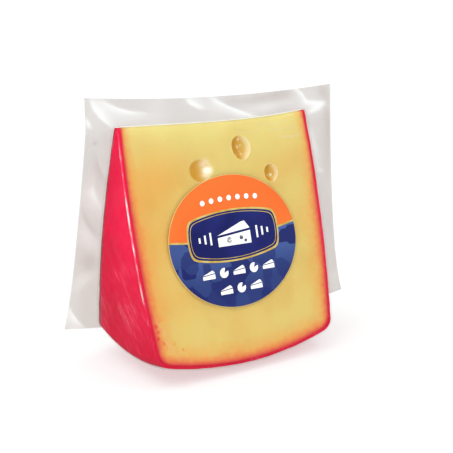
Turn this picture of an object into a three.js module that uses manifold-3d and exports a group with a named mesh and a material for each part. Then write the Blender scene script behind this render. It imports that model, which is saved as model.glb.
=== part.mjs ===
// A wedge of red-coated cheese, cut from a whole round wheel and vacuum packed in a clear pouch.
//
// The wedge stands on the crowned rim of the wheel with its thin edge up. The cheese has a red wax
// coat on the two flat sides of the wheel and on the rim, and two bare faces where the knife went
// through. A pouch of two webs of clear film is drawn tight round it, and the sealed margins of
// the webs stand out at the left, at the right and above the thin edge. An oval label sits on the
// front web, over the front cut face.
//
// Millimetres. +Z is up, X runs along the axis of the wheel, and the front cut face looks to -Y.
// The origin is on the table, in the middle of the patch that the wedge rests on.

import * as THREE from "three";
import { mergeVertices } from "three/addons/utils/BufferGeometryUtils.js";
import Module from "manifold-3d";

const wasm = await Module();
wasm.setup();

// The wheel, measured over its red wax coat.
const WHEEL_RADIUS = 104; // at the crest of the rim
const WHEEL_WIDTH = 93; // across the flat sides, at the axis
const SIDE_TAPER = 2.4; // how far each flat side falls back from the axis to the shoulder
const SIDE_BULGE = 2; // how far each flat side stands out of a straight line
const RIM_CROWN = 6.5; // how far the crest of the rim stands above its shoulders
const SHOULDER_ROUND = 4.5; // how far from the shoulder its rounding starts
const COAT = 1.2; // thickness of the wax coat

// The wedge.
const WEDGE_ANGLE = 31; // degrees of the wheel, between the two cut faces
const TIP_RADIUS = 2; // rounding of the thin edge
const SETTLE = 0.5; // how far the rim is pressed flat where it rests

// The eyes in the front cut face. The flat of the face starts below the rounded thin edge. drop
// is measured from there down the face, and x across it.
const EYES = [
  { x: -11.5, drop: 19.3, width: 11, height: 9.6, depth: 3 },
  { x: 10, drop: 11.7, width: 10, height: 10.8, depth: 4 },
  { x: 23.6, drop: 24, width: 7, height: 8.2, depth: 3.2 },
];
const EYE_OPENING = 0.25; // how far out the cut passed an eye's middle, as a share of its radius

// The pouch.
const FILM = 0.2; // thickness of one web
const SEAM_LEFT = 14.5; // degrees from upright of the seam on the left side, towards the back
const SEAM_RIGHT = 0; // the same on the right side
const MARGIN_LEFT = { top: 13.2, middle: 13.4, foot: 15.6 }; // width beyond the wheel's side
const MARGIN_RIGHT = { top: 15.2, middle: 18.8, foot: 25.2 };
const MARGIN_TOP = { left: 12.8, middle: 9.1, right: 10.4 }; // height above the thin edge
const MARGIN_FOOT = { left: 14.7, middle: 9, right: 15.2 }; // height above the table

// The label.
const LABEL_WIDTH = 63.5;
const LABEL_HEIGHT = 56;
const LABEL_THICKNESS = 0.2;
const LABEL_DROP = 50.3; // from the top of the flat of the face down to the label's middle
const LABEL_ACROSS = -0.5; // the label's middle along X

// Free space between pieces that touch.
const CLEARANCE = 0.3;

// How finely curves are drawn.
const WHEEL_STEPS = 144; // round the whole wheel
const SIDE_STEPS = 5;
const RIM_STEPS = 14;
const ROUND_STEPS = 4;
const TIP_STEPS = 5;
const SEAM_STEPS = 36; // across the pouch
const SEAM_ROWS = 4; // from the thin edge down to the table
const OUTLINE_STEPS = 8;
const LABEL_STEPS = 32; // round half of the label
const EYE_STEPS = 24;

// Worked out from the sizes above.
const HALF_ANGLE = THREE.MathUtils.degToRad(WEDGE_ANGLE / 2);
const FILM_INSIDE = CLEARANCE; // from the coat out to the inside of the film
const FILM_OUTSIDE = FILM_INSIDE + FILM;
const AXIS_HEIGHT = WHEEL_RADIUS + FILM_OUTSIDE - SETTLE; // also the height of the thin edge
const TIP_CENTRE = AXIS_HEIGHT - TIP_RADIUS;
const REACH = 2 * (WHEEL_RADIUS + WHEEL_WIDTH); // longer than anything that a cutter goes through

// A closed geometry as a solid that can be joined and cut.
function solidOf(geometry) {
  const bare = geometry.clone();
  bare.deleteAttribute("normal");
  bare.deleteAttribute("uv");
  const merged = mergeVertices(bare, 1e-4);
  const vertProperties = merged.attributes.position.array;
  const triVerts = new Uint32Array(merged.index.array);
  return new wasm.Manifold(new wasm.Mesh({ numProp: 3, vertProperties, triVerts }));
}

// A solid as a geometry that a mesh can show.
function geometryOf(solid) {
  const { vertProperties, triVerts } = solid.getMesh();
  const geometry = new THREE.BufferGeometry();
  geometry.setAttribute("position", new THREE.BufferAttribute(vertProperties, 3));
  geometry.setIndex(new THREE.BufferAttribute(triVerts, 1));
  geometry.computeVertexNormals();
  return geometry;
}

// The control point of the quadratic curve from start to end that passes through middle.
function controlFor(start, middle, end) {
  return middle.clone().multiplyScalar(2).addScaledVector(start, -0.5).addScaledVector(end, -0.5);
}

// Points along a stretch of a curve, from share a to share b of it.
function stretch(curve, a, b, steps) {
  return Array.from({ length: steps + 1 }, (_, i) => curve.getPoint(a + ((b - a) * i) / steps));
}

// The wheel's section on one side of its axis, as points of (radius, place along the axis). grow
// moves the whole outline outwards.
function wheelSection(grow) {
  const middle = WHEEL_WIDTH / 2 + grow;
  const edge = middle - SIDE_TAPER;
  const pole = new THREE.Vector2(0, middle);
  const shoulder = new THREE.Vector2(WHEEL_RADIUS - RIM_CROWN + grow, edge);
  const farShoulder = new THREE.Vector2(shoulder.x, -edge);
  const swell = new THREE.Vector2(shoulder.x / 2, (middle + edge) / 2 + SIDE_BULGE);
  const side = new THREE.QuadraticBezierCurve(pole, controlFor(pole, swell, shoulder), shoulder);
  const crest = new THREE.Vector2(WHEEL_RADIUS + grow, 0);
  const top = controlFor(shoulder, crest, farShoulder);
  const rim = new THREE.QuadraticBezierCurve(shoulder, top, farShoulder);
  const sideEnd = 1 - (SHOULDER_ROUND + grow) / shoulder.x;
  const rimStart = (SHOULDER_ROUND + grow) / (2 * edge);
  const [a, b] = [side.getPoint(sideEnd), rim.getPoint(rimStart)];
  const round = new THREE.QuadraticBezierCurve(a, shoulder, b);
  const upper = [
    ...stretch(side, 0, sideEnd, SIDE_STEPS).slice(0, -1),
    ...round.getPoints(ROUND_STEPS).slice(0, -1),
  ];
  const lower = upper.map(({ x, y }) => new THREE.Vector2(x, -y)).reverse();
  return [...upper, ...stretch(rim, rimStart, 1 - rimStart, RIM_STEPS), ...lower];
}

// The whole wheel on its rim, pressed flat where it rests.
function wheel(grow) {
  const geometry = new THREE.LatheGeometry(wheelSection(grow).reverse(), WHEEL_STEPS);
  geometry.rotateZ(-Math.PI / 2);
  geometry.translate(0, 0, AXIS_HEIGHT);
  return solidOf(geometry).intersect(above(FILM_OUTSIDE - grow));
}

// Everything above a level.
function above(level) {
  const geometry = new THREE.BoxGeometry(REACH, REACH, REACH);
  geometry.translate(0, 0, level + REACH / 2);
  return solidOf(geometry);
}

// What the knife leaves: the space between the two cut planes, with a rounded thin edge on top.
function sector(grow) {
  const radius = TIP_RADIUS + grow;
  const spread = radius / Math.cos(HALF_ANGLE) + REACH * Math.tan(HALF_ANGLE);
  const shape = new THREE.Shape();
  shape.absarc(0, TIP_CENTRE, radius, HALF_ANGLE, Math.PI - HALF_ANGLE, false);
  shape.lineTo(-spread, TIP_CENTRE - REACH);
  shape.lineTo(spread, TIP_CENTRE - REACH);
  shape.closePath();
  const options = { depth: REACH, bevelEnabled: false, curveSegments: TIP_STEPS };
  const geometry = new THREE.ExtrudeGeometry(shape, options);
  geometry.translate(0, 0, -REACH / 2);
  geometry.rotateY(Math.PI / 2);
  geometry.rotateX(Math.PI / 2);
  return solidOf(geometry);
}

// The coated wedge with its outside moved out by grow.
function wedge(grow) {
  return wheel(grow).intersect(sector(grow));
}

// The place of the front cut face, moved out of it by outwards. The origin is at the top of the
// flat of the face, x runs across it, y up it and z out of it.
function onFrontFace(outwards) {
  const place = new THREE.Group();
  const away = TIP_RADIUS + outwards;
  place.position.y = -away * Math.cos(HALF_ANGLE);
  place.position.z = TIP_CENTRE + away * Math.sin(HALF_ANGLE);
  place.rotation.x = Math.PI / 2 - HALF_ANGLE;
  place.updateMatrixWorld(true);
  return place;
}

// One eye: the part of an egg-shaped ball that lies behind the cut face.
function eye({ x, drop, width, height, depth }) {
  const mouth = 2 * Math.sqrt(1 - EYE_OPENING ** 2);
  const deep = depth / (1 - EYE_OPENING);
  const geometry = new THREE.SphereGeometry(1, EYE_STEPS, EYE_STEPS / 2);
  geometry.scale(width / mouth, height / mouth, deep);
  geometry.translate(x, -drop, EYE_OPENING * deep);
  geometry.applyMatrix4(onFrontFace(0).matrixWorld);
  return solidOf(geometry);
}

function cheesePaste() {
  const body = wheel(-COAT - CLEARANCE).intersect(sector(0));
  return EYES.map(eye).reduce((solid, hollow) => solid.subtract(hollow), body);
}

function waxCoat() {
  return wedge(0).subtract(wheel(-COAT));
}

// How far back the two webs of the pouch meet, at a place across the wheel and a height. The seam
// runs from the thin edge down the left side near the back cut face, and down the middle of the
// right side.
function seamDepth(x, z) {
  const share = THREE.MathUtils.smoothstep(x, -WHEEL_WIDTH / 2, WHEEL_WIDTH / 2);
  const angle = THREE.MathUtils.degToRad(THREE.MathUtils.lerp(SEAM_LEFT, SEAM_RIGHT, share));
  return Math.max(0, AXIS_HEIGHT - z) * Math.tan(angle);
}

// The edges of a sheet of triangles that only one triangle uses.
function rimEdges(index) {
  const edges = new Map();
  for (let i = 0; i < index.length; i += 3) {
    const [a, b, c] = index.slice(i, i + 3);
    for (const edge of [[a, b], [b, c], [c, a]]) edges.set(edge.join(), edge);
  }
  return [...edges.values()].filter(([a, b]) => !edges.has(`${b},${a}`));
}

// The space between two sheets that follow the seam, one moved back from it by front and the
// other by back.
function alongSeam(front, back) {
  const height = AXIS_HEIGHT * (1 + 1 / SEAM_ROWS);
  const rows = SEAM_ROWS + 1;
  const plane = new THREE.PlaneGeometry(2 * WHEEL_WIDTH, 2 * height, SEAM_STEPS, 2 * rows);
  const { position } = plane.attributes;
  const points = [];
  for (const offset of [front, back]) {
    for (let i = 0; i < position.count; i++) {
      const x = position.getX(i);
      const z = position.getY(i) + AXIS_HEIGHT;
      points.push(x, seamDepth(x, z) + offset, z);
    }
  }
  const index = Array.from(plane.index.array);
  const behind = index.map((i) => i + position.count).reverse();
  const walls = rimEdges(index).flatMap(([a, b]) => {
    const [farA, farB] = [a + position.count, b + position.count];
    return [a, farA, b, b, farA, farB];
  });
  const geometry = new THREE.BufferGeometry();
  geometry.setAttribute("position", new THREE.Float32BufferAttribute(points, 3));
  geometry.setIndex([...index, ...behind, ...walls]);
  return solidOf(geometry);
}

// The outline of the sealed pouch, seen from the front, as a prism from front to back. Each edge
// is one curve through its middle.
function pouchOutline() {
  const left = -WHEEL_WIDTH / 2;
  const right = WHEEL_WIDTH / 2;
  const halfway = AXIS_HEIGHT / 2;
  const point = (x, z) => new THREE.Vector2(x, z);
  const topLeft = point(left - MARGIN_LEFT.top, AXIS_HEIGHT + MARGIN_TOP.left);
  const topRight = point(right + MARGIN_RIGHT.top, AXIS_HEIGHT + MARGIN_TOP.right);
  const footLeft = point(left - MARGIN_LEFT.foot, MARGIN_FOOT.left);
  const footRight = point(right + MARGIN_RIGHT.foot, MARGIN_FOOT.right);
  const edges = [
    [topLeft, point(left - MARGIN_LEFT.middle, halfway), footLeft],
    [footLeft, point(0, MARGIN_FOOT.middle), footRight],
    [footRight, point(right + MARGIN_RIGHT.middle, halfway), topRight],
    [topRight, point(0, AXIS_HEIGHT + MARGIN_TOP.middle), topLeft],
  ];
  const shape = new THREE.Shape().moveTo(topLeft.x, topLeft.y);
  for (const [start, middle, end] of edges) {
    const bend = controlFor(start, middle, end);
    shape.quadraticCurveTo(bend.x, bend.y, end.x, end.y);
  }
  const options = { depth: REACH, bevelEnabled: false, curveSegments: OUTLINE_STEPS };
  const geometry = new THREE.ExtrudeGeometry(shape, options);
  geometry.translate(0, 0, -REACH / 2);
  geometry.rotateX(Math.PI / 2);
  return solidOf(geometry);
}

// One web of the pouch, on the front side (-1) or the back side (1) of the seam. It hugs its part
// of the wedge and ends in a flat margin that lies against the other web's.
function pouchWeb(side) {
  const near = (side * CLEARANCE) / 2;
  const space = (far) => alongSeam(Math.min(near, far), Math.max(near, far));
  const skin = wedge(FILM_OUTSIDE).intersect(space(side * REACH));
  const margin = pouchOutline().intersect(space(near + side * FILM));
  return skin.add(margin).subtract(wedge(FILM_INSIDE));
}

function labelOval() {
  const shape = new THREE.Shape();
  shape.absellipse(LABEL_ACROSS, -LABEL_DROP, LABEL_WIDTH / 2, LABEL_HEIGHT / 2, 0, 2 * Math.PI);
  const options = { depth: LABEL_THICKNESS, bevelEnabled: false, curveSegments: LABEL_STEPS };
  return new THREE.ExtrudeGeometry(shape, options);
}

function named(name, geometry, look) {
  const mesh = new THREE.Mesh(geometry, new THREE.MeshStandardMaterial(look));
  mesh.name = name;
  return mesh;
}

const cheeseLook = { color: 0xe9c06f, roughness: 0.42, metalness: 0 };
const waxLook = { color: 0xe52e50, roughness: 0.35, metalness: 0 };
const filmLook = { color: 0xe2ddd9, roughness: 0.12, metalness: 0, transparent: true, opacity: 0.3 };
const labelLook = { color: 0x1b2566, roughness: 0.4, metalness: 0 };

const labelPlace = onFrontFace(FILM_OUTSIDE + CLEARANCE);
labelPlace.add(named("label", labelOval(), labelLook));

const packedWedge = new THREE.Group();
packedWedge.add(
  named("cheese_paste", geometryOf(cheesePaste()), cheeseLook),
  named("red_wax_coat", geometryOf(waxCoat()), waxLook),
  named("pouch_front_web", geometryOf(pouchWeb(-1)), filmLook),
  named("pouch_back_web", geometryOf(pouchWeb(1)), filmLook),
  labelPlace,
);

export default packedWedge;
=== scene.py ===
"""The looks of a vacuum-packed wedge of red-waxed cheese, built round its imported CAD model.

The CAD nodes stay as the fixed frame. Each of them is stood for by a finer mesh with a finish of
its own: the cut paste with its eyes, the wax coat, the two webs of the pouch and the printed label.
Sizes are in millimetres and turn into metres where a mesh is made. X runs along the axis of the
wheel that the wedge was cut from, the front cut face looks to -Y and the thin edge is on top.
"""

import logging
import math
from collections.abc import Callable, Iterable, Sequence
from dataclasses import dataclass, field, replace
from enum import Enum

import bmesh
import bpy
import numpy as np
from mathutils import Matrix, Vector


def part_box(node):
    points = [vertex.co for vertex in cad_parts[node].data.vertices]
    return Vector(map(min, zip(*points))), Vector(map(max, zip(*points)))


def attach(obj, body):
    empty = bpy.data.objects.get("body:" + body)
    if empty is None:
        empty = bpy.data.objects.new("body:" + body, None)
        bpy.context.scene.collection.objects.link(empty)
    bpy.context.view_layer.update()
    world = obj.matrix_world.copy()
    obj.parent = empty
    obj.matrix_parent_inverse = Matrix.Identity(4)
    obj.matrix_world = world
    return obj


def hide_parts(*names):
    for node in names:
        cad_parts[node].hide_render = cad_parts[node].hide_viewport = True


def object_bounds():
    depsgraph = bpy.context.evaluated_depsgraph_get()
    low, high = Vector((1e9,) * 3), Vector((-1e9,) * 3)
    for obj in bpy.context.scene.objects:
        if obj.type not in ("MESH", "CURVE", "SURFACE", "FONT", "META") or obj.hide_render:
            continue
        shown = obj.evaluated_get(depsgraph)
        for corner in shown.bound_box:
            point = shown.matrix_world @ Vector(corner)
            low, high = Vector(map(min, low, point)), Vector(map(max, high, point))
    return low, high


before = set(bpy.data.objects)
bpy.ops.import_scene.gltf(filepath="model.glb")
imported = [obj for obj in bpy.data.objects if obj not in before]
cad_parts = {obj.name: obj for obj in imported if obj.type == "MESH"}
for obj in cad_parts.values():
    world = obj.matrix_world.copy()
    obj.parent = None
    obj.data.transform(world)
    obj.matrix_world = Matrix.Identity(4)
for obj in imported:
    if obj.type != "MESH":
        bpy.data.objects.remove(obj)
CAD_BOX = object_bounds()

LOG = logging.getLogger("packed_wedge")
MM = 0.001
BODY = "root"
SEW_WITHIN = 0.004  # mm between points of two grids that are sewn into one
SLIVER = 0.001  # mm, the length under which an edge is dropped
CROWDING = 1.6  # extra grid lines where they gather, as a share of the usual number
CURVE_POINTS = 40  # points on the line of a crease or a fold

Colour = tuple[float, float, float, float]


# ---------------------------------------------------------------------------------- small helpers


def linear(code: str) -> Colour:
    """Turns an sRGB colour to linear light.

    Args:
        code: The colour as "#RRGGBB".

    Returns:
        Red, green, blue and an alpha of 1, as Blender's sockets take them.
    """
    parts = [int(code[i : i + 2], 16) / 255 for i in (1, 3, 5)]
    light = [p / 12.92 if p <= 0.04045 else ((p + 0.055) / 1.055) ** 2.4 for p in parts]
    return (light[0], light[1], light[2], 1.0)


def box_of(node: str) -> tuple[np.ndarray, np.ndarray]:
    """Reads a CAD node's box.

    Args:
        node: The node's name.

    Returns:
        Its lowest and highest corners in millimetres.
    """
    low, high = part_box(node)
    return np.array(low) / MM, np.array(high) / MM


def ease(value: np.ndarray, start: float, end: float) -> np.ndarray:
    """Rises smoothly from 0 at start to 1 at end.

    Args:
        value: Where to read the rise.
        start: The value that gives 0.
        end: The value that gives 1. It may be below start.

    Returns:
        The rise at each value.
    """
    share = np.clip((value - start) / (end - start), 0, 1)
    return share * share * (3 - 2 * share)


def quadratic(start: np.ndarray, bend: np.ndarray, end: np.ndarray, shares: np.ndarray) -> np.ndarray:
    """Points on a quadratic curve.

    Args:
        start: Its first point.
        bend: Its control point.
        end: Its last point.
        shares: How far along it each point is, from 0 to 1.

    Returns:
        One row for each share.
    """
    t = np.asarray(shares)[:, None]
    return (1 - t) ** 2 * start + 2 * t * (1 - t) * bend + t * t * end


def bend_for(start: np.ndarray, middle: np.ndarray, end: np.ndarray) -> np.ndarray:
    """The control point that takes a quadratic curve through middle, halfway along."""
    return 2 * middle - (start + end) / 2


def along(line: np.ndarray, shares: np.ndarray) -> np.ndarray:
    """Points spaced along a line by their shares of its length.

    Args:
        line: The line's corners, one in a row.
        shares: Shares of the length, from 0 to 1.

    Returns:
        One row for each share.
    """
    steps = np.linalg.norm(np.diff(line, axis=0), axis=1)
    length = np.concatenate([[0.0], np.cumsum(steps)])
    return np.stack([np.interp(shares * length[-1], length, c) for c in line.T], axis=-1)


def swell(points: np.ndarray, wave: float, seed: int, terms: int = 7) -> np.ndarray:
    """A soft uneven swell, the same on every run.

    Args:
        points: Where to read it, with the coordinates on the last axis.
        wave: Its usual wavelength in millimetres.
        seed: Which swell it is.
        terms: How many plain waves it adds up.

    Returns:
        Its height at each point, mostly between -1 and 1.
    """
    dice = np.random.default_rng(seed)
    total = np.zeros(points.shape[:-1])
    for _ in range(terms):
        way = dice.normal(size=points.shape[-1])
        way *= 2 * math.pi / (np.linalg.norm(way) * wave * dice.uniform(0.7, 1.6))
        total += np.sin(points @ way + dice.uniform(0, 2 * math.pi))
    return total / math.sqrt(terms)


def gather(places: Iterable[tuple[float, float]], low: float, high: float, count: int) -> np.ndarray:
    """Grid lines that stand closer together round chosen places.

    Args:
        places: The middle and the width of each place where they gather.
        low: The first line.
        high: The last line.
        count: How many lines there are.

    Returns:
        The lines, in order.
    """
    fine = np.linspace(low, high, 2000)
    weight = np.ones_like(fine)
    for middle, width in places:
        weight += CROWDING * np.exp(-(((fine - middle) / width) ** 4))
    total = np.concatenate([[0.0], np.cumsum((weight[1:] + weight[:-1]) / 2)])
    return np.interp(np.linspace(0, total[-1], count), total, fine)


@dataclass
class Patchwork:
    """Grids of points that are sewn into one mesh where their edges meet."""

    points: list[np.ndarray] = field(default_factory=list)
    faces: list[np.ndarray] = field(default_factory=list)
    slots: list[np.ndarray] = field(default_factory=list)
    fields: dict[str, list[np.ndarray]] = field(default_factory=dict)

    def add(self, grid: np.ndarray, slot: int = 0, turn: bool = False, **values: np.ndarray) -> None:
        """Adds one grid.

        Args:
            grid: Points in millimetres, as rows by columns by 3.
            slot: The material slot of its faces.
            turn: Whether its faces look the other way.
            **values: A value at each point for each named field, which every grid of the mesh has.
        """
        rows, columns = grid.shape[:2]
        first = sum(len(p) for p in self.points)
        index = np.arange(rows * columns).reshape(rows, columns) + first
        corners = [index[:-1, :-1], index[1:, :-1], index[1:, 1:], index[:-1, 1:]]
        quads = np.stack(corners[::-1] if turn else corners, axis=-1).reshape(-1, 4)
        self.points.append(grid.reshape(-1, 3))
        self.faces.append(quads)
        self.slots.append(np.full(len(quads), slot, np.int32))
        for name, value in values.items():
            spread = np.broadcast_to(value, (rows, columns)).reshape(-1)
            self.fields.setdefault(name, []).append(spread)

    def build(self, name: str, finishes: list[bpy.types.Material], crease: float) -> bpy.types.Object:
        """Makes the mesh and sews its grids together.

        Args:
            name: The object's name.
            finishes: The materials of its slots.
            crease: Edges sharper than this many degrees stay sharp.

        Returns:
            The object, linked into the scene.
        """
        mesh = bpy.data.meshes.new(name)
        mesh.from_pydata(np.concatenate(self.points) * MM, [], np.concatenate(self.faces))
        mesh.polygons.foreach_set("material_index", np.concatenate(self.slots))
        for key, values in self.fields.items():
            layer = mesh.attributes.new(key, "FLOAT", "POINT")
            layer.data.foreach_set("value", np.concatenate(values).astype(np.float32))
        work = bmesh.new()
        work.from_mesh(mesh)
        bmesh.ops.remove_doubles(work, verts=work.verts, dist=SEW_WITHIN * MM)
        bmesh.ops.dissolve_degenerate(work, edges=work.edges, dist=SLIVER * MM)
        work.to_mesh(mesh)
        work.free()
        for finish in finishes:
            mesh.materials.append(finish)
        mesh.shade_smooth()
        mesh.set_sharp_from_angle(angle=math.radians(crease))
        made = bpy.data.objects.new(name, mesh)
        bpy.context.scene.collection.objects.link(made)
        return made


def place_on_frame(piece: bpy.types.Object, node: str) -> None:
    """Lets a piece stand for a CAD node.

    Args:
        piece: The finished piece.
        node: The CAD node that it takes the place of.
    """
    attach(piece, BODY)
    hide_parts(node)
    LOG.info("%s: %d points, %d faces", piece.name, len(piece.data.vertices), len(piece.data.polygons))


# --------------------------------------------------------------------------------- the cut wheel


class Side(Enum):
    """The two sides of the wedge and of the pouch."""

    FRONT = -1
    BACK = 1


@dataclass(frozen=True)
class Wheel:
    """The waxed wheel, the wedge cut from it, and how points on them are found.

    A point is told by its radius from the axis, its place across the wheel and its angle from
    straight down, which is positive towards the front. grow moves a surface outwards.
    """

    axis_height: float
    radius: float = 104.0
    width: float = 93.0
    side_taper: float = 2.4
    side_bulge: float = 2.0
    rim_crown: float = 6.5
    shoulder_round: float = 4.5
    wedge_angle: float = 31.0
    tip_radius: float = 2.0
    settle: float = 0.5
    sag: float = 1.5
    sag_skew: float = 0.6
    sag_reach: float = 16.0
    coat: float = 1.2  # thickness of the wax

    @property
    def half_angle(self) -> float:
        """Half the wedge's angle, in radians."""
        return math.radians(self.wedge_angle / 2)

    def outline(self, grow: float) -> tuple[np.ndarray, np.ndarray]:
        """The wheel's section on the right of its middle.

        Args:
            grow: How far the section is moved outwards.

        Returns:
            The flat side from the axis to the middle of the rounded shoulder, and the rim from
            there to the crest, as points of radius and place across.
        """
        middle = self.width / 2 + grow
        edge = middle - self.side_taper
        pole = np.array([0.0, middle])
        shoulder = np.array([self.radius - self.rim_crown + grow, edge])
        bulge = np.array([shoulder[0] / 2, (middle + edge) / 2 + self.side_bulge])
        crest = np.array([self.radius + grow, 0.0])
        far = np.array([shoulder[0], -edge])
        reach = self.shoulder_round + grow
        side_end = 1 - reach / shoulder[0]
        rim_start = reach / (2 * edge)
        side = quadratic(pole, bend_for(pole, bulge, shoulder), shoulder, np.linspace(0, side_end, 200))
        rim = quadratic(shoulder, bend_for(shoulder, crest, far), far, np.linspace(rim_start, 0.5, 120))
        corner = quadratic(side[-1], shoulder, rim[0], np.linspace(0, 1, 41))
        halfway = len(corner) // 2
        return np.vstack([side[:-1], corner[: halfway + 1]]), np.vstack([corner[halfway:-1], rim])

    def lean(self, radius: np.ndarray, grow: float) -> np.ndarray:
        """The angle at which a cut face stands.

        Args:
            radius: The radius at each point.
            grow: How far the cut face is moved out.

        Returns:
            The angle at each point, in radians. On the rounded thin edge it opens up to a circle.
        """
        tip = self.tip_radius + grow
        r = np.maximum(radius, 1e-9)
        sine = math.sin(self.half_angle)
        flat = self.half_angle + np.arcsin(np.clip((tip - self.tip_radius * sine) / r, -1, 1))
        turned = (r * r + self.tip_radius**2 - tip * tip) / (2 * self.tip_radius * r)
        meet = tip * tip - 2 * self.tip_radius * tip * sine + self.tip_radius**2
        return np.where(r * r > meet, flat, np.arccos(np.clip(turned, -1, 1)))

    def place(self, radius: np.ndarray, across: np.ndarray, angle: np.ndarray, grow: float) -> np.ndarray:
        """Finds points in space.

        Args:
            radius: Their radius from the axis.
            across: Their place across the wheel.
            angle: Their angle from straight down.
            grow: How far their surface is moved outwards, which says how low it may rest.

        Returns:
            The points. The wedge rests flat, and its thin edge sags a little between its ends.
        """
        x, r, t = np.broadcast_arrays(across, radius, angle)
        z = np.maximum(self.axis_height - r * np.cos(t), self.settle - grow)
        z = z - self.sag_at(x) * np.exp(-(((self.axis_height - z) / self.sag_reach) ** 2))
        return np.stack([x, -r * np.sin(t), z], axis=-1)

    def sag_at(self, across: np.ndarray) -> np.ndarray:
        """How far the thin edge sags at a place across, most of it on the right of the middle."""
        share = np.clip(2 * across / self.width, -1, 1)
        return self.sag * (1 - share**2) * (1 + self.sag_skew * share)

    def face(self, grow: float, across: np.ndarray, down: np.ndarray) -> tuple[np.ndarray, np.ndarray]:
        """A grid over a cut face, from the thin edge to the rim.

        Args:
            grow: How far the wheel's section is moved outwards.
            across: The grid's shares from the left side, -1, to the right side, 1.
            down: Its shares from the thin edge, 0, to the rim, 1.

        Returns:
            The radius and the place across of each point, with down along the rows.
        """
        side, rim = self.outline(grow)
        side = side[side[:, 0] >= max(grow, 0.0)]
        flank, foot = along(side, down), along(self.whole_rim(rim), (across + 1) / 2)
        corner_radius, corner = side[-1]
        v = down[:, None]
        radius = flank[:, :1] + v * (foot[None, :, 0] - corner_radius)
        return radius, across * flank[:, 1:] + v * (foot[None, :, 1] - across * corner)

    @staticmethod
    def whole_rim(half: np.ndarray) -> np.ndarray:
        """The rim from its left shoulder to its right one, from the half that outline gives."""
        return np.vstack([half * (1, -1), half[-2::-1]])

    def round_the_coat(self, grow: float, down: np.ndarray, across: np.ndarray) -> np.ndarray:
        """The section's whole outline, up the left side, that is the way the wax coat runs.

        Args:
            grow: How far the section is moved outwards.
            down: Shares of a side from the axis to the shoulder, as face takes them.
            across: Shares of the rim from its left shoulder to its right one.

        Returns:
            Points of radius and place across, from the left pole round to the right pole.
        """
        side, rim = self.outline(grow)
        flank = along(side, down)
        foot = along(self.whole_rim(rim), (across + 1) / 2)
        return np.vstack([flank * (1, -1), foot[1:-1], flank[::-1]])

    def on_face(self, across: np.ndarray, drop: np.ndarray, out: float) -> np.ndarray:
        """Points on or over the front cut face.

        Args:
            across: Their place across the wheel.
            drop: How far down the flat of the face they are.
            out: How far out of the face they stand.

        Returns:
            The points in space.
        """
        cosine, sine = math.cos(self.half_angle), math.sin(self.half_angle)
        away = self.tip_radius + out
        x, s = np.broadcast_arrays(across, drop)
        y = -away * cosine - s * sine
        z = self.axis_height - self.tip_radius + away * sine - s * cosine
        return np.stack([x, y, z], axis=-1)

    def drop_of(self, points: np.ndarray) -> np.ndarray:
        """How far down the flat of the front face points are.

        Args:
            points: Points in space.

        Returns:
            The drop of each point from the upper end of the flat.
        """
        cosine, sine = math.cos(self.half_angle), math.sin(self.half_angle)
        y = points[..., 1] + self.tip_radius * cosine
        z = points[..., 2] - (self.axis_height - self.tip_radius + self.tip_radius * sine)
        return -y * sine - z * cosine

    def depth_in_paste(self, radius: np.ndarray, across: np.ndarray) -> np.ndarray:
        """How far points of a cut face are from the wax.

        Args:
            radius: Their radius from the axis.
            across: Their place across the wheel.

        Returns:
            The distance to the inside of the coat, round its corners too.
        """
        middle = self.width / 2 - self.coat
        edge = middle - self.side_taper
        share = radius / (self.radius - self.rim_crown - self.coat)
        side = middle - self.side_taper * share + 4 * self.side_bulge * share * (1 - share)
        crown = self.radius - self.coat - self.rim_crown * (across / edge) ** 2
        beside, below = np.maximum(side - np.abs(across), 0), np.maximum(crown - radius, 0)
        bend = self.shoulder_round
        inner = np.hypot(np.maximum(bend - beside, 0), np.maximum(bend - below, 0))
        near = np.where((beside < bend) & (below < bend), bend - inner, np.minimum(beside, below))
        return np.maximum(near, 0)


# ------------------------------------------------------------------------------------- materials


def add(
    tree: bpy.types.NodeTree,
    kind: str,
    settings: dict[str, object],
    stops: Sequence[tuple[float, Colour]] = (),
    **inputs: object,
) -> bpy.types.Node:
    """Adds one node to a node tree.

    Args:
        tree: The tree.
        kind: The node's type, without its "ShaderNode".
        settings: Its own properties by name.
        stops: The places from 0 to 1 and the colours of its ramp, if it has one.
        **inputs: What goes into its sockets, a value or another node's output. A name is the
            socket's, with _ for a space, or n and the socket's number.

    Returns:
        The node.
    """
    node = tree.nodes.new("ShaderNode" + kind)
    for name, value in settings.items():
        setattr(node, name, value)
    for name, value in inputs.items():
        socket = node.inputs[int(name[1:]) if name[1:].isdigit() else name.replace("_", " ")]
        if isinstance(value, bpy.types.NodeSocket):
            tree.links.new(value, socket)
        else:
            socket.default_value = value
    for _ in stops[2:]:
        node.color_ramp.elements.new(0.5)
    if stops:
        for element, (place, colour) in zip(node.color_ramp.elements, stops):
            element.position = place
            element.color = colour
    return node


def faded(code: str, share: float) -> Colour:
    """An sRGB colour in linear light that covers only a share of what is under it."""
    return (*linear(code)[:3], share)


def new_material(name: str) -> tuple[bpy.types.Material, bpy.types.NodeTree, bpy.types.Node]:
    """Starts an empty material.

    Args:
        name: The material's name.

    Returns:
        The material, its node tree and its output node.
    """
    material = bpy.data.materials.new(name)
    material.use_nodes = True
    material.node_tree.nodes.clear()
    return material, material.node_tree, add(material.node_tree, "OutputMaterial", {})


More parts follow.
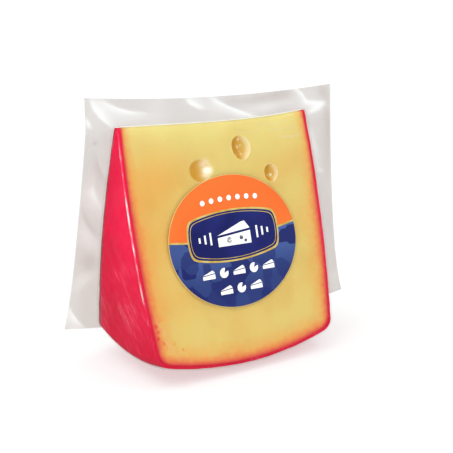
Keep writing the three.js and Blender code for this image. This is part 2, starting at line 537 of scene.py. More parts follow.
@dataclass(frozen=True)
class CutPaste:
    """Paste of a semi-hard washed-curd cheese, cut with a wire.

    The paste is dense and fatty, so light goes a few millimetres in and the surface has a soft,
    low gloss. The wire leaves faint drag marks down the face. The dye of the wax and the
    drier rind redden the outermost millimetres. The thin edge is paler, partly as drier paste and
    partly as painted light, for light that goes through it and for its face tilting up.
    """

    middle: str = "#E0C978"
    deep: str = "#D8B767"
    warm: str = "#E6A84E"
    # pale: the thin edge's colour, drier paste with painted light on it
    pale: str = "#EEE396"
    # eye: the colour of the painted shade inside the eyes
    eye: str = "#D69C2C"
    # glint: the colour of the painted highlights in the eyes
    glint: str = "#FFFCE8"
    rind: tuple[str, ...] = ("#D8263E", "#E25C48", "#E8844A", "#EAA254")
    rind_reach: float = 10.0  # mm from the wax to where its colour has faded out
    seep: float = 2.4  # mm between the places where that colour reaches further
    grain: float = 0.7  # mm between the specks of curd
    mottle: float = 17.0  # mm across the patches of riper paste
    drag: float = 0.9  # mm between the wire's drag marks
    roughness: float = 0.4
    ior: float = 1.46
    glow: float = 0.35  # share of the light that scatters inside
    glow_depth: float = 2.2  # mm that it goes in

    def build(self) -> bpy.types.Material:
        """Makes the material.

        Returns:
            The material with its nodes.
        """
        material, tree, output = new_material("cut_cheese_paste")
        place = add(tree, "TexCoord", {}).outputs["Object"]
        patch = add(tree, "TexNoise", {}, Vector=place, Scale=1 / (self.mottle * MM), Detail=3.0)
        fine = add(tree, "TexNoise", {}, Vector=place, Scale=1 / (self.grain * MM), Detail=2.0)
        mixed = add(tree, "Math", {"operation": "MULTIPLY_ADD"}, n0=fine.outputs["Fac"], n1=0.3)
        tree.links.new(patch.outputs["Fac"], mixed.inputs[2])
        shades = [(0.38, linear(self.deep)), (0.72, linear(self.middle))]
        body = add(tree, "ValToRGB", {}, shades, Fac=mixed.outputs[0])
        colour = body.outputs["Color"]
        # The thin edge's pale layer is drier paste and painted light; the eye layer is painted shade in
        # the eyes and the glint layer their painted highlights.
        layers = {"warmth": self.warm, "dry_edge_and_painted_light": self.pale, "eye": self.eye, "glint": self.glint}
        for layer, code in layers.items():
            amount = add(tree, "Attribute", {"attribute_name": layer}).outputs["Fac"]
            mix = add(tree, "Mix", {"data_type": "RGBA"}, n0=amount, n6=colour, n7=linear(code))
            colour = mix.outputs[2]
        reach = add(tree, "Attribute", {"attribute_name": "from_wax"}).outputs["Fac"]
        seep = add(tree, "TexNoise", {}, Vector=place, Scale=1 / (self.seep * MM), Detail=3.0)
        uneven = add(tree, "MapRange", {}, Value=seep.outputs["Fac"], n1=0.25, n2=0.75, n3=0.75, n4=1.3)
        share = add(tree, "Math", {"operation": "MULTIPLY"}, n0=reach, n1=uneven.outputs[0])
        scaled = add(tree, "Math", {"operation": "DIVIDE"}, n0=share.outputs[0], n1=self.rind_reach)
        first, second, third, last = self.rind
        stops = [(0.0, faded(first, 1.0)), (0.1, faded(second, 0.95)), (0.25, faded(third, 0.78))]
        stops += [(0.5, faded(last, 0.45)), (1.0, faded(last, 0.0))]
        edge = add(tree, "ValToRGB", {}, stops, Fac=scaled.outputs[0])
        cover, dye = edge.outputs["Alpha"], edge.outputs["Color"]
        dyed = add(tree, "Mix", {"data_type": "RGBA"}, n0=cover, n6=colour, n7=dye)
        long_marks = add(tree, "Mapping", {}, Vector=place, Scale=(1.0, 0.06, 0.06))
        often = 1 / (self.drag * MM)
        marks = add(tree, "TexNoise", {}, Vector=long_marks.outputs[0], Scale=often, Detail=2.0)
        relief = add(tree, "Math", {"operation": "MULTIPLY_ADD"}, n0=marks.outputs["Fac"], n1=0.6)
        tree.links.new(fine.outputs["Fac"], relief.inputs[2])
        bump = add(tree, "Bump", {}, Height=relief.outputs[0], Strength=0.35, Distance=0.09 * MM)
        smooth, rough = self.roughness - 0.06, self.roughness + 0.12
        sheen = add(tree, "MapRange", {}, Value=fine.outputs["Fac"], n3=smooth, n4=rough)
        shader = add(
            tree, "BsdfPrincipled", {},
            Base_Color=dyed.outputs[2], Roughness=sheen.outputs[0], IOR=self.ior, Specular_IOR_Level=0.3,
            Subsurface_Weight=self.glow, Subsurface_Radius=(1.0, 0.55, 0.2),
            Subsurface_Scale=self.glow_depth * MM, Normal=bump.outputs[0],
        )
        tree.links.new(shader.outputs[0], output.inputs[0])
        return material


@dataclass(frozen=True)
class DippedWax:
    """Red cheese wax, a paraffin blend put on by dipping and then rubbed by handling.

    Dipping leaves soft ripples and a low lustre. The wax is a little clear, so it glows. It is
    painted darker towards the bottom, as painted shade. Handling under the film leaves fine pale
    scratches.
    """

    colour: str = "#F4104C"
    deep: str = "#DC0C3A"
    # thick: the colour of the painted shade low on the wax
    thick: str = "#C4122F"
    light: str = "#F56C90"
    ripple: float = 9.0  # mm between the ripples that dipping leaves
    cloud: float = 26.0  # mm across thicker and thinner patches
    scratch: float = 0.65  # mm between scratches, coarser than real ones, which would not show
    scratch_tilt: float = -42.0  # degrees
    scratched: tuple[float, float] = (66.0, 36.0)  # mm of height from hardly to often scratched
    handled: float = 15.0  # mm across the patches that were rubbed more
    painted_shade_heights: tuple[float, float] = (60.0, 8.0)  # mm of height from no painted shade to the full painted shade, darker towards the bottom
    roughness: float = 0.34
    ior: float = 1.44

    def build(self) -> bpy.types.Material:
        """Makes the material.

        Returns:
            The material with its nodes.
        """
        material, tree, output = new_material("dipped_red_cheese_wax")
        place = add(tree, "TexCoord", {}).outputs["Object"]
        cloud = add(tree, "TexNoise", {}, Vector=place, Scale=1 / (self.cloud * MM), Detail=3.0)
        shades = [(0.3, linear(self.deep)), (0.62, linear(self.colour))]
        body = add(tree, "ValToRGB", {}, shades, Fac=cloud.outputs["Fac"])
        tilt = math.radians(self.scratch_tilt)
        turned = add(tree, "Mapping", {}, Vector=place, Rotation=(tilt, 0.0, 0.0))
        drawn = add(tree, "Mapping", {}, Vector=turned.outputs[0], Scale=(1.0, 0.035, 1.0))
        lines = add(
            tree, "TexNoise", {}, Vector=drawn.outputs[0], Scale=1 / (self.scratch * MM), Detail=1.0
        )
        soft = {"interpolation_type": "SMOOTHSTEP"}
        thin = add(tree, "MapRange", soft, Value=lines.outputs["Fac"], n1=0.57, n2=0.7)
        patch = add(tree, "TexNoise", {}, Vector=place, Scale=1 / (self.handled * MM), Detail=2.0)
        where = add(tree, "MapRange", {}, Value=patch.outputs["Fac"], n1=0.34, n2=0.6, n4=0.62)
        height = add(tree, "SeparateXYZ", {}, Vector=place).outputs["Z"]
        few, many = self.scratched
        below = add(tree, "MapRange", {}, Value=height, n1=few * MM, n2=many * MM, n3=0.12, n4=0.85)
        often = add(tree, "Math", {"operation": "MULTIPLY"}, n0=where.outputs[0], n1=below.outputs[0])
        worn = add(tree, "Math", {"operation": "MULTIPLY"}, n0=thin.outputs[0], n1=often.outputs[0])
        # Painted shade: the wax turns darker towards the bottom.
        usual, thick = self.painted_shade_heights
        low = add(tree, "MapRange", {}, Value=height, n1=usual * MM, n2=thick * MM, n3=0.0, n4=0.65)
        colour, blend = body.outputs["Color"], {"data_type": "RGBA"}
        darker = add(tree, "Mix", blend, n0=low.outputs[0], n6=colour, n7=linear(self.thick))
        colour = darker.outputs[2]
        paler = add(tree, "Mix", blend, n0=worn.outputs[0], n6=colour, n7=linear(self.light))
        ripple = add(tree, "TexNoise", {}, Vector=place, Scale=1 / (self.ripple * MM), Detail=1.0)
        wave = add(tree, "Bump", {}, Height=ripple.outputs["Fac"], Strength=0.5, Distance=0.5 * MM)
        nick = add(
            tree, "Bump", {},
            Height=worn.outputs[0], Strength=0.4, Distance=0.05 * MM, Normal=wave.outputs[0],
        )
        smooth, rough = self.roughness - 0.08, self.roughness + 0.12
        dull = add(tree, "MapRange", {}, Value=patch.outputs["Fac"], n3=smooth, n4=rough)
        shader = add(
            tree, "BsdfPrincipled", {},
            Base_Color=paler.outputs[2], Roughness=dull.outputs[0], IOR=self.ior, Specular_IOR_Level=0.35,
            Subsurface_Weight=0.12, Subsurface_Radius=(1.0, 0.12, 0.15), Subsurface_Scale=1.2 * MM,
            Normal=nick.outputs[0],
        )
        tree.links.new(shader.outputs[0], output.inputs[0])
        return material


@dataclass(frozen=True)
class PouchFilm:
    """Clear PA/PE vacuum film, cast and heat sealed.

    The film is glossy and nearly clear where it clings. In the free margins the two webs are
    sealed together, see-through and a little grey. Where the film is folded or creased it carries
    painted highlights: it scatters more light and tints what is behind it less. Painted shade in some
    margin folds makes it greyer.
    """

    name: str
    tint: str
    milk: float  # share of the light that the film scatters
    milk_colour: str = "#F2EEEC"
    # crease_colour: the colour of the painted highlight on folds and creases
    crease_colour: str = "#FFFDFA"
    crease: float = 0.9  # share of the light that a full crease scatters, as a painted highlight
    through: float = 0.0  # share of the scattered light that comes from behind
    roughness: float = 0.16
    ior: float = 1.5
    gloss: float = 1.0  # share of the clear film's own reflection
    graze: float = 0.35  # share of the light that full gloss mirrors at a grazing look
    # fold_tint: the clearer see-through colour of folds, a painted highlight
    fold_tint: str = "#FFFFFF"
    crinkle: float = 5.0  # mm between the fine crinkles

    def build(self) -> bpy.types.Material:
        """Makes the material.

        Returns:
            The material with its nodes.
        """
        material, tree, output = new_material(self.name)
        place = add(tree, "TexCoord", {}).outputs["Object"]
        noise = add(tree, "TexNoise", {}, Vector=place, Scale=1 / (self.crinkle * MM), Detail=2.0)
        bump = add(tree, "Bump", {}, Height=noise.outputs["Fac"], Strength=0.25, Distance=0.35 * MM)
        # The fold layer carries the painted highlights and painted shades of folds and creases.
        fold = add(tree, "Attribute", {"attribute_name": "fold"}).outputs["Fac"]
        least, most = self.milk * 0.75, self.milk * 1.25
        cloudy = add(tree, "MapRange", {}, Value=noise.outputs["Fac"], n3=least, n4=most)
        white = add(tree, "Math", {"operation": "MULTIPLY_ADD"}, n0=fold, n1=self.crease)
        tree.links.new(cloudy.outputs[0], white.inputs[2])
        blend, milky, creased = {"data_type": "RGBA"}, linear(self.milk_colour), linear(self.crease_colour)
        haze_colour = add(tree, "Mix", blend, n0=fold, n6=milky, n7=creased)
        see_through = add(tree, "Mix", blend, n0=fold, n6=linear(self.tint), n7=linear(self.fold_tint))
        clear = add(tree, "BsdfTransparent", {}, Color=see_through.outputs[2])
        haze = add(tree, "BsdfTranslucent", {}, Color=haze_colour.outputs[2])
        lit = add(tree, "BsdfDiffuse", {}, Color=haze_colour.outputs[2])
        both = add(tree, "MixShader", {}, n0=self.through, n1=lit.outputs[0], n2=haze.outputs[0])
        body = add(tree, "MixShader", {}, n0=white.outputs[0], n1=clear.outputs[0], n2=both.outputs[0])
        facing = add(tree, "LayerWeight", {}, Blend=0.5).outputs["Facing"]
        rim = add(tree, "Math", {"operation": "POWER"}, n0=facing, n1=5.0)
        straight = ((self.ior - 1) / (self.ior + 1)) ** 2
        amount = add(
            tree, "Math", {"operation": "MULTIPLY_ADD"},
            n0=rim.outputs[0], n1=self.graze * self.gloss, n2=self.gloss * straight,
        )
        shine = add(
            tree, "BsdfAnisotropic", {},
            Color=(1.0, 1.0, 1.0, 1.0), Roughness=self.roughness, Normal=bump.outputs[0],
        )
        film = add(tree, "MixShader", {}, n0=amount.outputs[0], n1=body.outputs[0], n2=shine.outputs[0])
        tree.links.new(film.outputs[0], output.inputs[0])
        return material


@dataclass(frozen=True)
class PrintedInk:
    """Offset ink on coated label paper, under a clear varnish.

    The varnish gives an even satin gloss. The ink shows a very fine paper tooth, and a field may
    carry broad facets of a second shade that fade out towards the foot of the label.
    """

    name: str
    colour: str
    second: str
    facet: float = 8.0  # mm across one facet
    tooth: float = 0.35  # mm between the bumps of the paper
    roughness: float = 0.36
    facets: bool = False
    metallic: float = 0.0

    def build(self) -> bpy.types.Material:
        """Makes the material.

        Returns:
            The material with its nodes.
        """
        material, tree, output = new_material(self.name)
        place = add(tree, "TexCoord", {}).outputs["Object"]
        if self.facets:
            square = {"distance": "MANHATTAN"}
            cells = add(tree, "TexVoronoi", square, Vector=place, Scale=1 / (self.facet * MM))
            tone = add(tree, "SeparateColor", {}, Color=cells.outputs["Color"]).outputs[0]
            rise = add(tree, "Attribute", {"attribute_name": "rise"}).outputs["Fac"]
            fade = add(tree, "MapRange", {}, Value=rise, n3=0.3, n4=1.0).outputs[0]
            share = add(tree, "Math", {"operation": "MULTIPLY"}, n0=tone, n1=fade).outputs[0]
        else:
            cloud = add(tree, "TexNoise", {}, Vector=place, Scale=1 / (self.facet * MM), Detail=1.0)
            share = add(tree, "MapRange", {}, Value=cloud.outputs["Fac"], n1=0.35, n2=0.65).outputs[0]
        first, second = linear(self.colour), linear(self.second)
        shade = add(tree, "Mix", {"data_type": "RGBA"}, n0=share, n6=first, n7=second)
        tooth = add(tree, "TexNoise", {}, Vector=place, Scale=1 / (self.tooth * MM), Detail=1.0)
        bump = add(tree, "Bump", {}, Height=tooth.outputs["Fac"], Strength=0.12, Distance=0.03 * MM)
        shader = add(
            tree, "BsdfPrincipled", {},
            Base_Color=shade.outputs[2], Roughness=self.roughness, IOR=1.5, Specular_IOR_Level=0.35,
            Metallic=self.metallic, Normal=bump.outputs[0],
        )
        tree.links.new(shader.outputs[0], output.inputs[0])
        return material


# ---------------------------------------------------------------------------------------- paste


@dataclass(frozen=True)
class Eye:
    """A hole that gas left in the paste, opened by the cut."""

    across: float
    drop: float
    width: float
    height: float
    depth: float
    softness: float  # 0 for a crisp mouth, 1 for a melted dimple
    shade: float  # how much painted shade darkens the paste inside
    gleams: tuple[tuple[float, float, float, float], ...]  # painted glints: place and size in radii, and strength

    def share(self, across: np.ndarray, drop: np.ndarray) -> np.ndarray:
        """How far from the eye's middle points are.

        Args:
            across: Their place across the wheel.
            drop: How far down the flat of the face they are.

        Returns:
            The distance as a share of the eye's radius in that direction.
        """
        turn = np.arctan2(drop - self.drop, across - self.across)
        uneven = 1 + 0.035 * np.sin(2 * turn + self.across) + 0.025 * np.sin(3 * turn + self.drop)
        along_x = (across - self.across) * 2 / self.width
        along_y = (drop - self.drop) * 2 / self.height
        return np.hypot(along_x, along_y) * uneven

    def hollow(self, across: np.ndarray, drop: np.ndarray) -> np.ndarray:
        """Reads the eye's shape.

        Args:
            across: The place across the wheel of each point.
            drop: How far down the flat of the face it is.

        Returns:
            The depth below the cut at each point, with a lip just outside the eye's mouth.
        """
        share = self.share(across, drop)
        ball = (np.sqrt(np.maximum(1 - 0.94 * share**2, 0)) - 0.245) / 0.755
        crisp = np.maximum(ball, 0) * self.depth
        soft = self.depth * 0.8 * np.maximum(1 - (share / 1.25) ** 2, 0) ** 2
        lip = 0.12 * np.exp(-(((share - 1.06) / 0.07) ** 2)) * (1 - self.softness)
        return crisp * (1 - self.softness) + soft * self.softness - lip

    def painted_shade(self, across: np.ndarray, drop: np.ndarray) -> np.ndarray:
        """Reads the painted shade inside the eye.

        Args:
            across: The place across the wheel of each point.
            drop: How far down the flat of the face it is.

        Returns:
            How much painted shade each point takes, most on the left wall.
        """
        share = self.share(across, drop)
        left = ease(across - self.across, 0.42 * self.width, -0.3 * self.width)
        return self.shade * ease(share, 1.02, 0.85) * (0.45 + 0.55 * left)

    def glint(self, across: np.ndarray, drop: np.ndarray) -> np.ndarray:
        """Reads the eye's painted highlights.

        Args:
            across: The place across the wheel of each point.
            drop: How far down the flat of the face it is.

        Returns:
            How much painted highlight each point takes: painted glints, painted light on the right wall
            and a painted highlight on the rim.
        """
        along_x = (across - self.across) * 2 / self.width
        along_y = (drop - self.drop) * 2 / self.height
        share = self.share(across, drop)
        # Painted light on the right wall and a painted highlight round the rim, then the painted glints.
        right = ease(along_x, -0.2, 0.7)
        wall = 0.35 * right * ease(share, 0.62, 0.9) * ease(share, 1.04, 0.96)
        rim = 0.5 * np.exp(-(((share - 1.02) / 0.045) ** 2)) * (0.25 + 0.75 * right) * (1 - self.softness)
        spots = np.maximum(wall, rim)
        for x, y, size, strength in self.gleams:
            far = np.hypot(along_x - x, along_y - y) / size
            spots = np.maximum(spots, strength * np.exp(-(far**2)))
        return spots


@dataclass(frozen=True)
class Patch:
    """A patch of riper, warmer paste, seen from the front."""

    across: float
    drop: float
    reach: float
    amount: float


@dataclass
class CheesePaste:
    """The cheese itself, cut on both faces and open in its eyes."""

    wheel: Wheel
    finish: CutPaste = CutPaste()
    gap: float = 0.05  # to the inside of the wax
    columns: int = 330
    rows: int = 330
    eyes: tuple[Eye, ...] = (
        Eye(
            -11.5, 19.3, 11, 9.6, 1.7, 0.75, 0.95,
            ((0.66, 0.05, 0.36, 1.3), (0.5, 0.4, 0.35, 0.6), (0.45, -0.55, 0.4, 0.45)),
        ),
        Eye(
            10, 11.7, 8.7, 10.6, 2.8, 0.08, 1.0,
            (
                (0.0, -0.08, 0.1, 0.75), (0.05, -0.72, 0.12, 0.6), (-0.1, -0.2, 0.09, 0.4),
                (0.2, 0.5, 0.1, 0.45), (-0.5, 0.62, 0.1, 0.5), (-0.35, 0.5, 0.08, 0.35),
                (0.3, -0.2, 0.08, 0.4), (0.1, 0.25, 0.07, 0.3),
            ),
        ),
        Eye(
            23.6, 24, 6.4, 8.0, 2.4, 0.15, 1.0,
            ((0.3, 0.2, 0.14, 0.9), (-0.15, 0.2, 0.1, 0.5), (0.1, 0.35, 0.12, 0.4)),
        ),
    )
    patches: tuple[Patch, ...] = (
        Patch(-33, 22, 17, 0.45),
        Patch(-40, 48, 20, 0.4),
        Patch(-38, 80, 18, 0.2),
        Patch(33, 30, 16, 0.15),
        Patch(8, 92, 26, 0.18),
    )
    crumbs: tuple[tuple[float, float, float], ...] = (  # of wax, by place across, drop and size
        (-42.6, 79.0, 0.8), (-42.0, 81.5, 0.65), (-42.4, 84.0, 0.75),
        (-35.5, 87.5, 0.5), (-32.0, 90.5, 0.55), (-40.2, 86.5, 0.5),
    )

    def cut_face(self, side: Side, columns: int, rows: int) -> tuple[np.ndarray, dict[str, np.ndarray]]:
        """One cut face with half of the thin edge.

        Args:
            side: Which face it is.
            columns: How many points it has across.
            rows: How many points it has down.

        Returns:
            The grid's points and the values of its fields.
        """
        wheel, grow = self.wheel, -self.wheel.coat - self.gap
        front = side is Side.FRONT
        middles = [(e.across / 45, e.width / 60) for e in self.eyes] if front else []
        heights = [(e.drop / 100, e.height / 130) for e in self.eyes] if front else []
        across = gather([*middles, (-1, 0.08), (1, 0.08)], -1, 1, columns)
        down = gather([*heights, (0, 0.04), (1, 0.06)], 0, 1, rows)
        radius, place = wheel.face(grow, across, down)
        angle = wheel.lean(radius, 0) * (1 if front else -1)
        points = wheel.place(radius, place, angle, grow)
        drop = np.maximum(wheel.drop_of(points * (1, -1 if not front else 1, 1)), -1.5)
        flat = np.stack([place, drop], axis=-1)
        deep = 0.07 * swell(flat, 26, 3) + 0.03 * swell(flat * (1, 0.25), 5, 4) * ease(drop, 0, 6)
        # Painted shade and painted highlights of the eyes.
        shade, glint = np.zeros_like(drop), np.zeros_like(drop)
        for eye in self.eyes if front else ():
            deep = deep + eye.hollow(place, drop)
            shade = np.maximum(shade, eye.painted_shade(place, drop))
            glint = np.maximum(glint, eye.glint(place, drop))
        cosine, sine = math.cos(wheel.half_angle), math.sin(wheel.half_angle)
        inward = np.array([0.0, side.value * -cosine, -sine])
        points = points + inward * (deep * ease(drop, -1.5, 2))[..., None]
        warmth = np.zeros_like(drop)
        for patch in self.patches:
            reach = np.hypot(place - patch.across, (drop - patch.drop) * 0.8)
            warmth += patch.amount * np.exp(-((reach / patch.reach) ** 2))
        # The thin edge paler, drier paste with painted light on it, fading down the face.
        dry_edge_and_painted_light = 0.85 * np.exp(-(np.maximum(drop + 1, 0) / 9) ** 1.2) * (0.85 + 0.15 * swell(flat, 14, 5))
        shrink = 1 + 0.9 * ease(drop, 48, 0)  # the wax's colour reaches in less near the thin edge
        for x, y, size in self.crumbs if front else ():
            shrink = shrink * (1 - 0.92 * np.exp(-((np.hypot(place - x, drop - y) / size) ** 2)))
        values = {
            "from_wax": wheel.depth_in_paste(radius, place) * shrink,
            "warmth": np.clip(warmth + 0.08 * swell(flat, 30, 6), 0, 1),
            "dry_edge_and_painted_light": np.clip(dry_edge_and_painted_light, 0, 1),
            "eye": shade,
            "glint": np.clip(glint, 0, 1),
        }
        return points, values

    def under_coat(self, across: np.ndarray, down: np.ndarray) -> np.ndarray:
        """The sides and the rim that the wax hides.

        Args:
            across: Shares of the rim from its left shoulder, -1, to its right one, 1.
            down: Shares of a side from the axis to the shoulder.

        Returns:
            A grid that runs from the front to the back across its rows.
        """
        grow = -self.wheel.coat - self.gap
        line = self.wheel.round_the_coat(grow, down, across)
        radius, place = line[:, :1], line[:, 1:]
        spread = np.linspace(1, -1, 9)[None, :]
        return self.wheel.place(radius, place, self.wheel.lean(radius, 0) * spread, grow)

    def build(self) -> bpy.types.Object:
        """Makes the paste and dresses it.

        Returns:
            The piece.
        """
        work = Patchwork()
        points, values = self.cut_face(Side.FRONT, self.columns, self.rows)
        work.add(points, **values)
        points, values = self.cut_face(Side.BACK, self.columns // 2, self.rows // 2)
        work.add(points, turn=True, **values)
        across, down = np.linspace(-1, 1, 60), np.linspace(0, 1, 60)
        work.add(self.under_coat(across, down), turn=True, **{name: np.zeros(1) for name in values})
        piece = work.build("cheese_paste_cut", [self.finish.build()], 50)
        place_on_frame(piece, "cheese_paste")
        return piece


# ----------------------------------------------------------------------------------------- coat


@dataclass
class WaxCoat:
    """The red wax over both flat sides and the rim, one shell that ends at the cut faces."""

    wheel: Wheel
    finish: DippedWax = DippedWax()
    rows: int = 150
    columns: int = 70
    edge_round: float = 0.4
    dips: float = 0.13  # depth of the dips that dipping leaves

    def layer(self, grow: float, rough: float) -> np.ndarray:
        """One face of the shell.

        Args:
            grow: How far it is from the outside of the wheel.
            rough: How deep its dips are.

        Returns:
            A grid that runs round the section along its rows and from front to back across them.
        """
        down = gather([(0, 0.03), (1, 0.08)], 0, 1, self.rows)
        line = self.wheel.round_the_coat(grow, down, np.linspace(-1, 1, self.rows))
        radius, place = line[:, :1], line[:, 1:]
        half = self.wheel.lean(radius, 0)
        spread = np.sin(np.linspace(math.pi / 2, -math.pi / 2, self.columns))[None, :]
        from_edge = radius * half * (1 - np.abs(spread))
        points = self.wheel.place(radius, place, half * spread, grow)
        dip = rough * (0.5 + 0.5 * swell(points, 17, 11)) + 0.35 * rough * swell(points, 6, 12)
        worn = self.edge_round * np.maximum(1 - from_edge / self.edge_round, 0) ** 2 * (rough > 0)
        inward = points * (1, 0, 0) * -1
        inward = inward / np.maximum(np.linalg.norm(inward, axis=-1, keepdims=True), 1e-6)
        crest = self.wheel.radius
        on_rim = ease(np.broadcast_to(radius, points.shape[:2]), crest - 12, crest - 4)
        centre = np.array([0.0, 0.0, self.wheel.axis_height])
        to_axis = (centre - points) * (0, 1, 1)
        to_axis = to_axis / np.maximum(np.linalg.norm(to_axis, axis=-1, keepdims=True), 1e-6)
        way = inward * (1 - on_rim[..., None]) + to_axis * on_rim[..., None]
        return points + way * (np.maximum(dip, 0) + worn * 0.6)[..., None] * ease(radius, 0, 3)[..., None]

    def build(self) -> bpy.types.Object:
        """Makes the coat and dresses it.

        Returns:
            The piece.
        """
        outside, inside = self.layer(0.0, self.dips), self.layer(-self.wheel.coat, 0.0)
        work = Patchwork()
        work.add(outside, turn=True)
        work.add(inside)
        for edge, turn in ((0, False), (-1, True)):
            shares = np.linspace(0, 1, 5)[None, :, None]
            strip = outside[:, edge, None] * (1 - shares) + inside[:, edge, None] * shares
            work.add(strip, turn=turn)
        piece = work.build("red_wax_dipped_coat", [self.finish.build()], 50)
        place_on_frame(piece, "red_wax_coat")
        return piece


# ---------------------------------------------------------------------------------------- pouch


@dataclass(frozen=True)
class Crease:
    """A crease of the film along a curved line, told by points in space, with a painted highlight along
    it.
    """

    start: np.ndarray
    middle: np.ndarray
    end: np.ndarray
    height: float
    width: float
    white: float = 0.5  # how much painted highlight the crease puts on the film

    def press(self, points: np.ndarray) -> tuple[np.ndarray, np.ndarray]:
        """Reads the crease.

        Args:
            points: Points on the film.

        Returns:
            How far the crease lifts each point out of the film, and how much painted highlight it gets
            there.
        """
        shares = np.linspace(0, 1, CURVE_POINTS)
        line = quadratic(self.start, bend_for(self.start, self.middle, self.end), self.end, shares)
        flat = points.reshape(-1, 3)
        low, high = line.min(0) - 3 * self.width, line.max(0) + 3 * self.width
        near = np.all((flat > low) & (flat < high), axis=1)
        lift, white = np.zeros(len(flat)), np.zeros(len(flat))
        if near.any():
            gaps = np.linalg.norm(flat[near][:, None, :] - line[None], axis=-1)
            share = shares[gaps.argmin(1)]
            taper = np.sin(math.pi * np.clip(share * 0.96 + 0.02, 0, 1)) ** 0.5
            ridge = np.exp(-((gaps.min(1) / self.width) ** 2)) * taper
            lift[near], white[near] = ridge * self.height, ridge * self.white
        return lift.reshape(points.shape[:-1]), white.reshape(points.shape[:-1])


@dataclass(frozen=True)
class Fold:
    """A soft fold of the free margin with a painted highlight, told by three places (across, height) along
    its line.
    """

    line: tuple[tuple[float, float], ...]
    white: float  # how bright its painted highlight on the crest is; below 0, how dark its painted shade in the hollow is
    crisp: float  # width of its crisp flank
    soft: float = 0.0  # reach of its soft flank, on the left of its way, or the right if below 0

    def at_heights(self, change: Callable[[float], float]) -> "Fold":
        """The same fold with each of its heights changed."""
        return replace(self, line=tuple((x, change(z)) for x, z in self.line))

    def press(self, points: np.ndarray) -> np.ndarray:
        """Reads the fold's painted highlight and painted shade.

        Args:
            points: Points on the film.

        Returns:
            How much painted highlight the fold puts on each point, below 0 where it puts painted shade.
        """
        start, middle, end = (np.array(p) for p in self.line)
        shares = np.linspace(0, 1, CURVE_POINTS)
        way = quadratic(start, bend_for(start, middle, end), end, shares)
        flat = points[..., (0, 2)].reshape(-1, 2)
        gaps = flat[:, None, :] - way[None]
        far = np.linalg.norm(gaps, axis=-1)
        near = far.argmin(1)
        gap, tangent = gaps[np.arange(len(flat)), near], np.gradient(way, axis=0)[near]
        left = (tangent[:, 0] * gap[:, 1] - tangent[:, 1] * gap[:, 0]) * math.copysign(1, self.soft)
        reach = np.where(left > 0, np.maximum(abs(self.soft), self.crisp), self.crisp)
        share = far.min(1) / reach
        taper = np.sin(math.pi * np.clip(0.08 + 0.84 * shares[near], 0, 1)) ** 0.6
        ridge = np.where((left > 0) & (self.soft != 0), np.exp(-share), np.exp(-share * share))
        return (ridge * taper * self.white).reshape(points.shape[:-1])


@dataclass(frozen=True)
class PouchOutline:
    """The edge of the sealed pouch, seen from the front, with one curve for each of its sides."""

    top_left: np.ndarray
    top_right: np.ndarray
    foot_left: np.ndarray
    foot_right: np.ndarray
    left_middle: np.ndarray
    right_middle: np.ndarray
    top_middle: np.ndarray
    foot_middle: np.ndarray

    def left(self, shares: np.ndarray) -> np.ndarray:
        """Points down the left edge, as place across and height."""
        bend = bend_for(self.top_left, self.left_middle, self.foot_left)
        return quadratic(self.top_left, bend, self.foot_left, shares)

    def right(self, shares: np.ndarray) -> np.ndarray:
        """Points down the right edge."""
        bend = bend_for(self.top_right, self.right_middle, self.foot_right)
        return quadratic(self.top_right, bend, self.foot_right, shares)

    def top(self, shares: np.ndarray) -> np.ndarray:
        """Points along the top edge from left to right."""
        bend = bend_for(self.top_left, self.top_middle, self.top_right)
        return quadratic(self.top_left, bend, self.top_right, shares)

    def foot(self, across: float) -> float:
        """Reads the lower edge.

        Args:
            across: The place across.

        Returns:
            The height of the pouch's foot there.
        """
        bend = bend_for(self.foot_left, self.foot_middle, self.foot_right)
        line = quadratic(self.foot_left, bend, self.foot_right, np.linspace(0, 1, 60))
        return float(np.interp(across, line[:, 0], line[:, 1]))


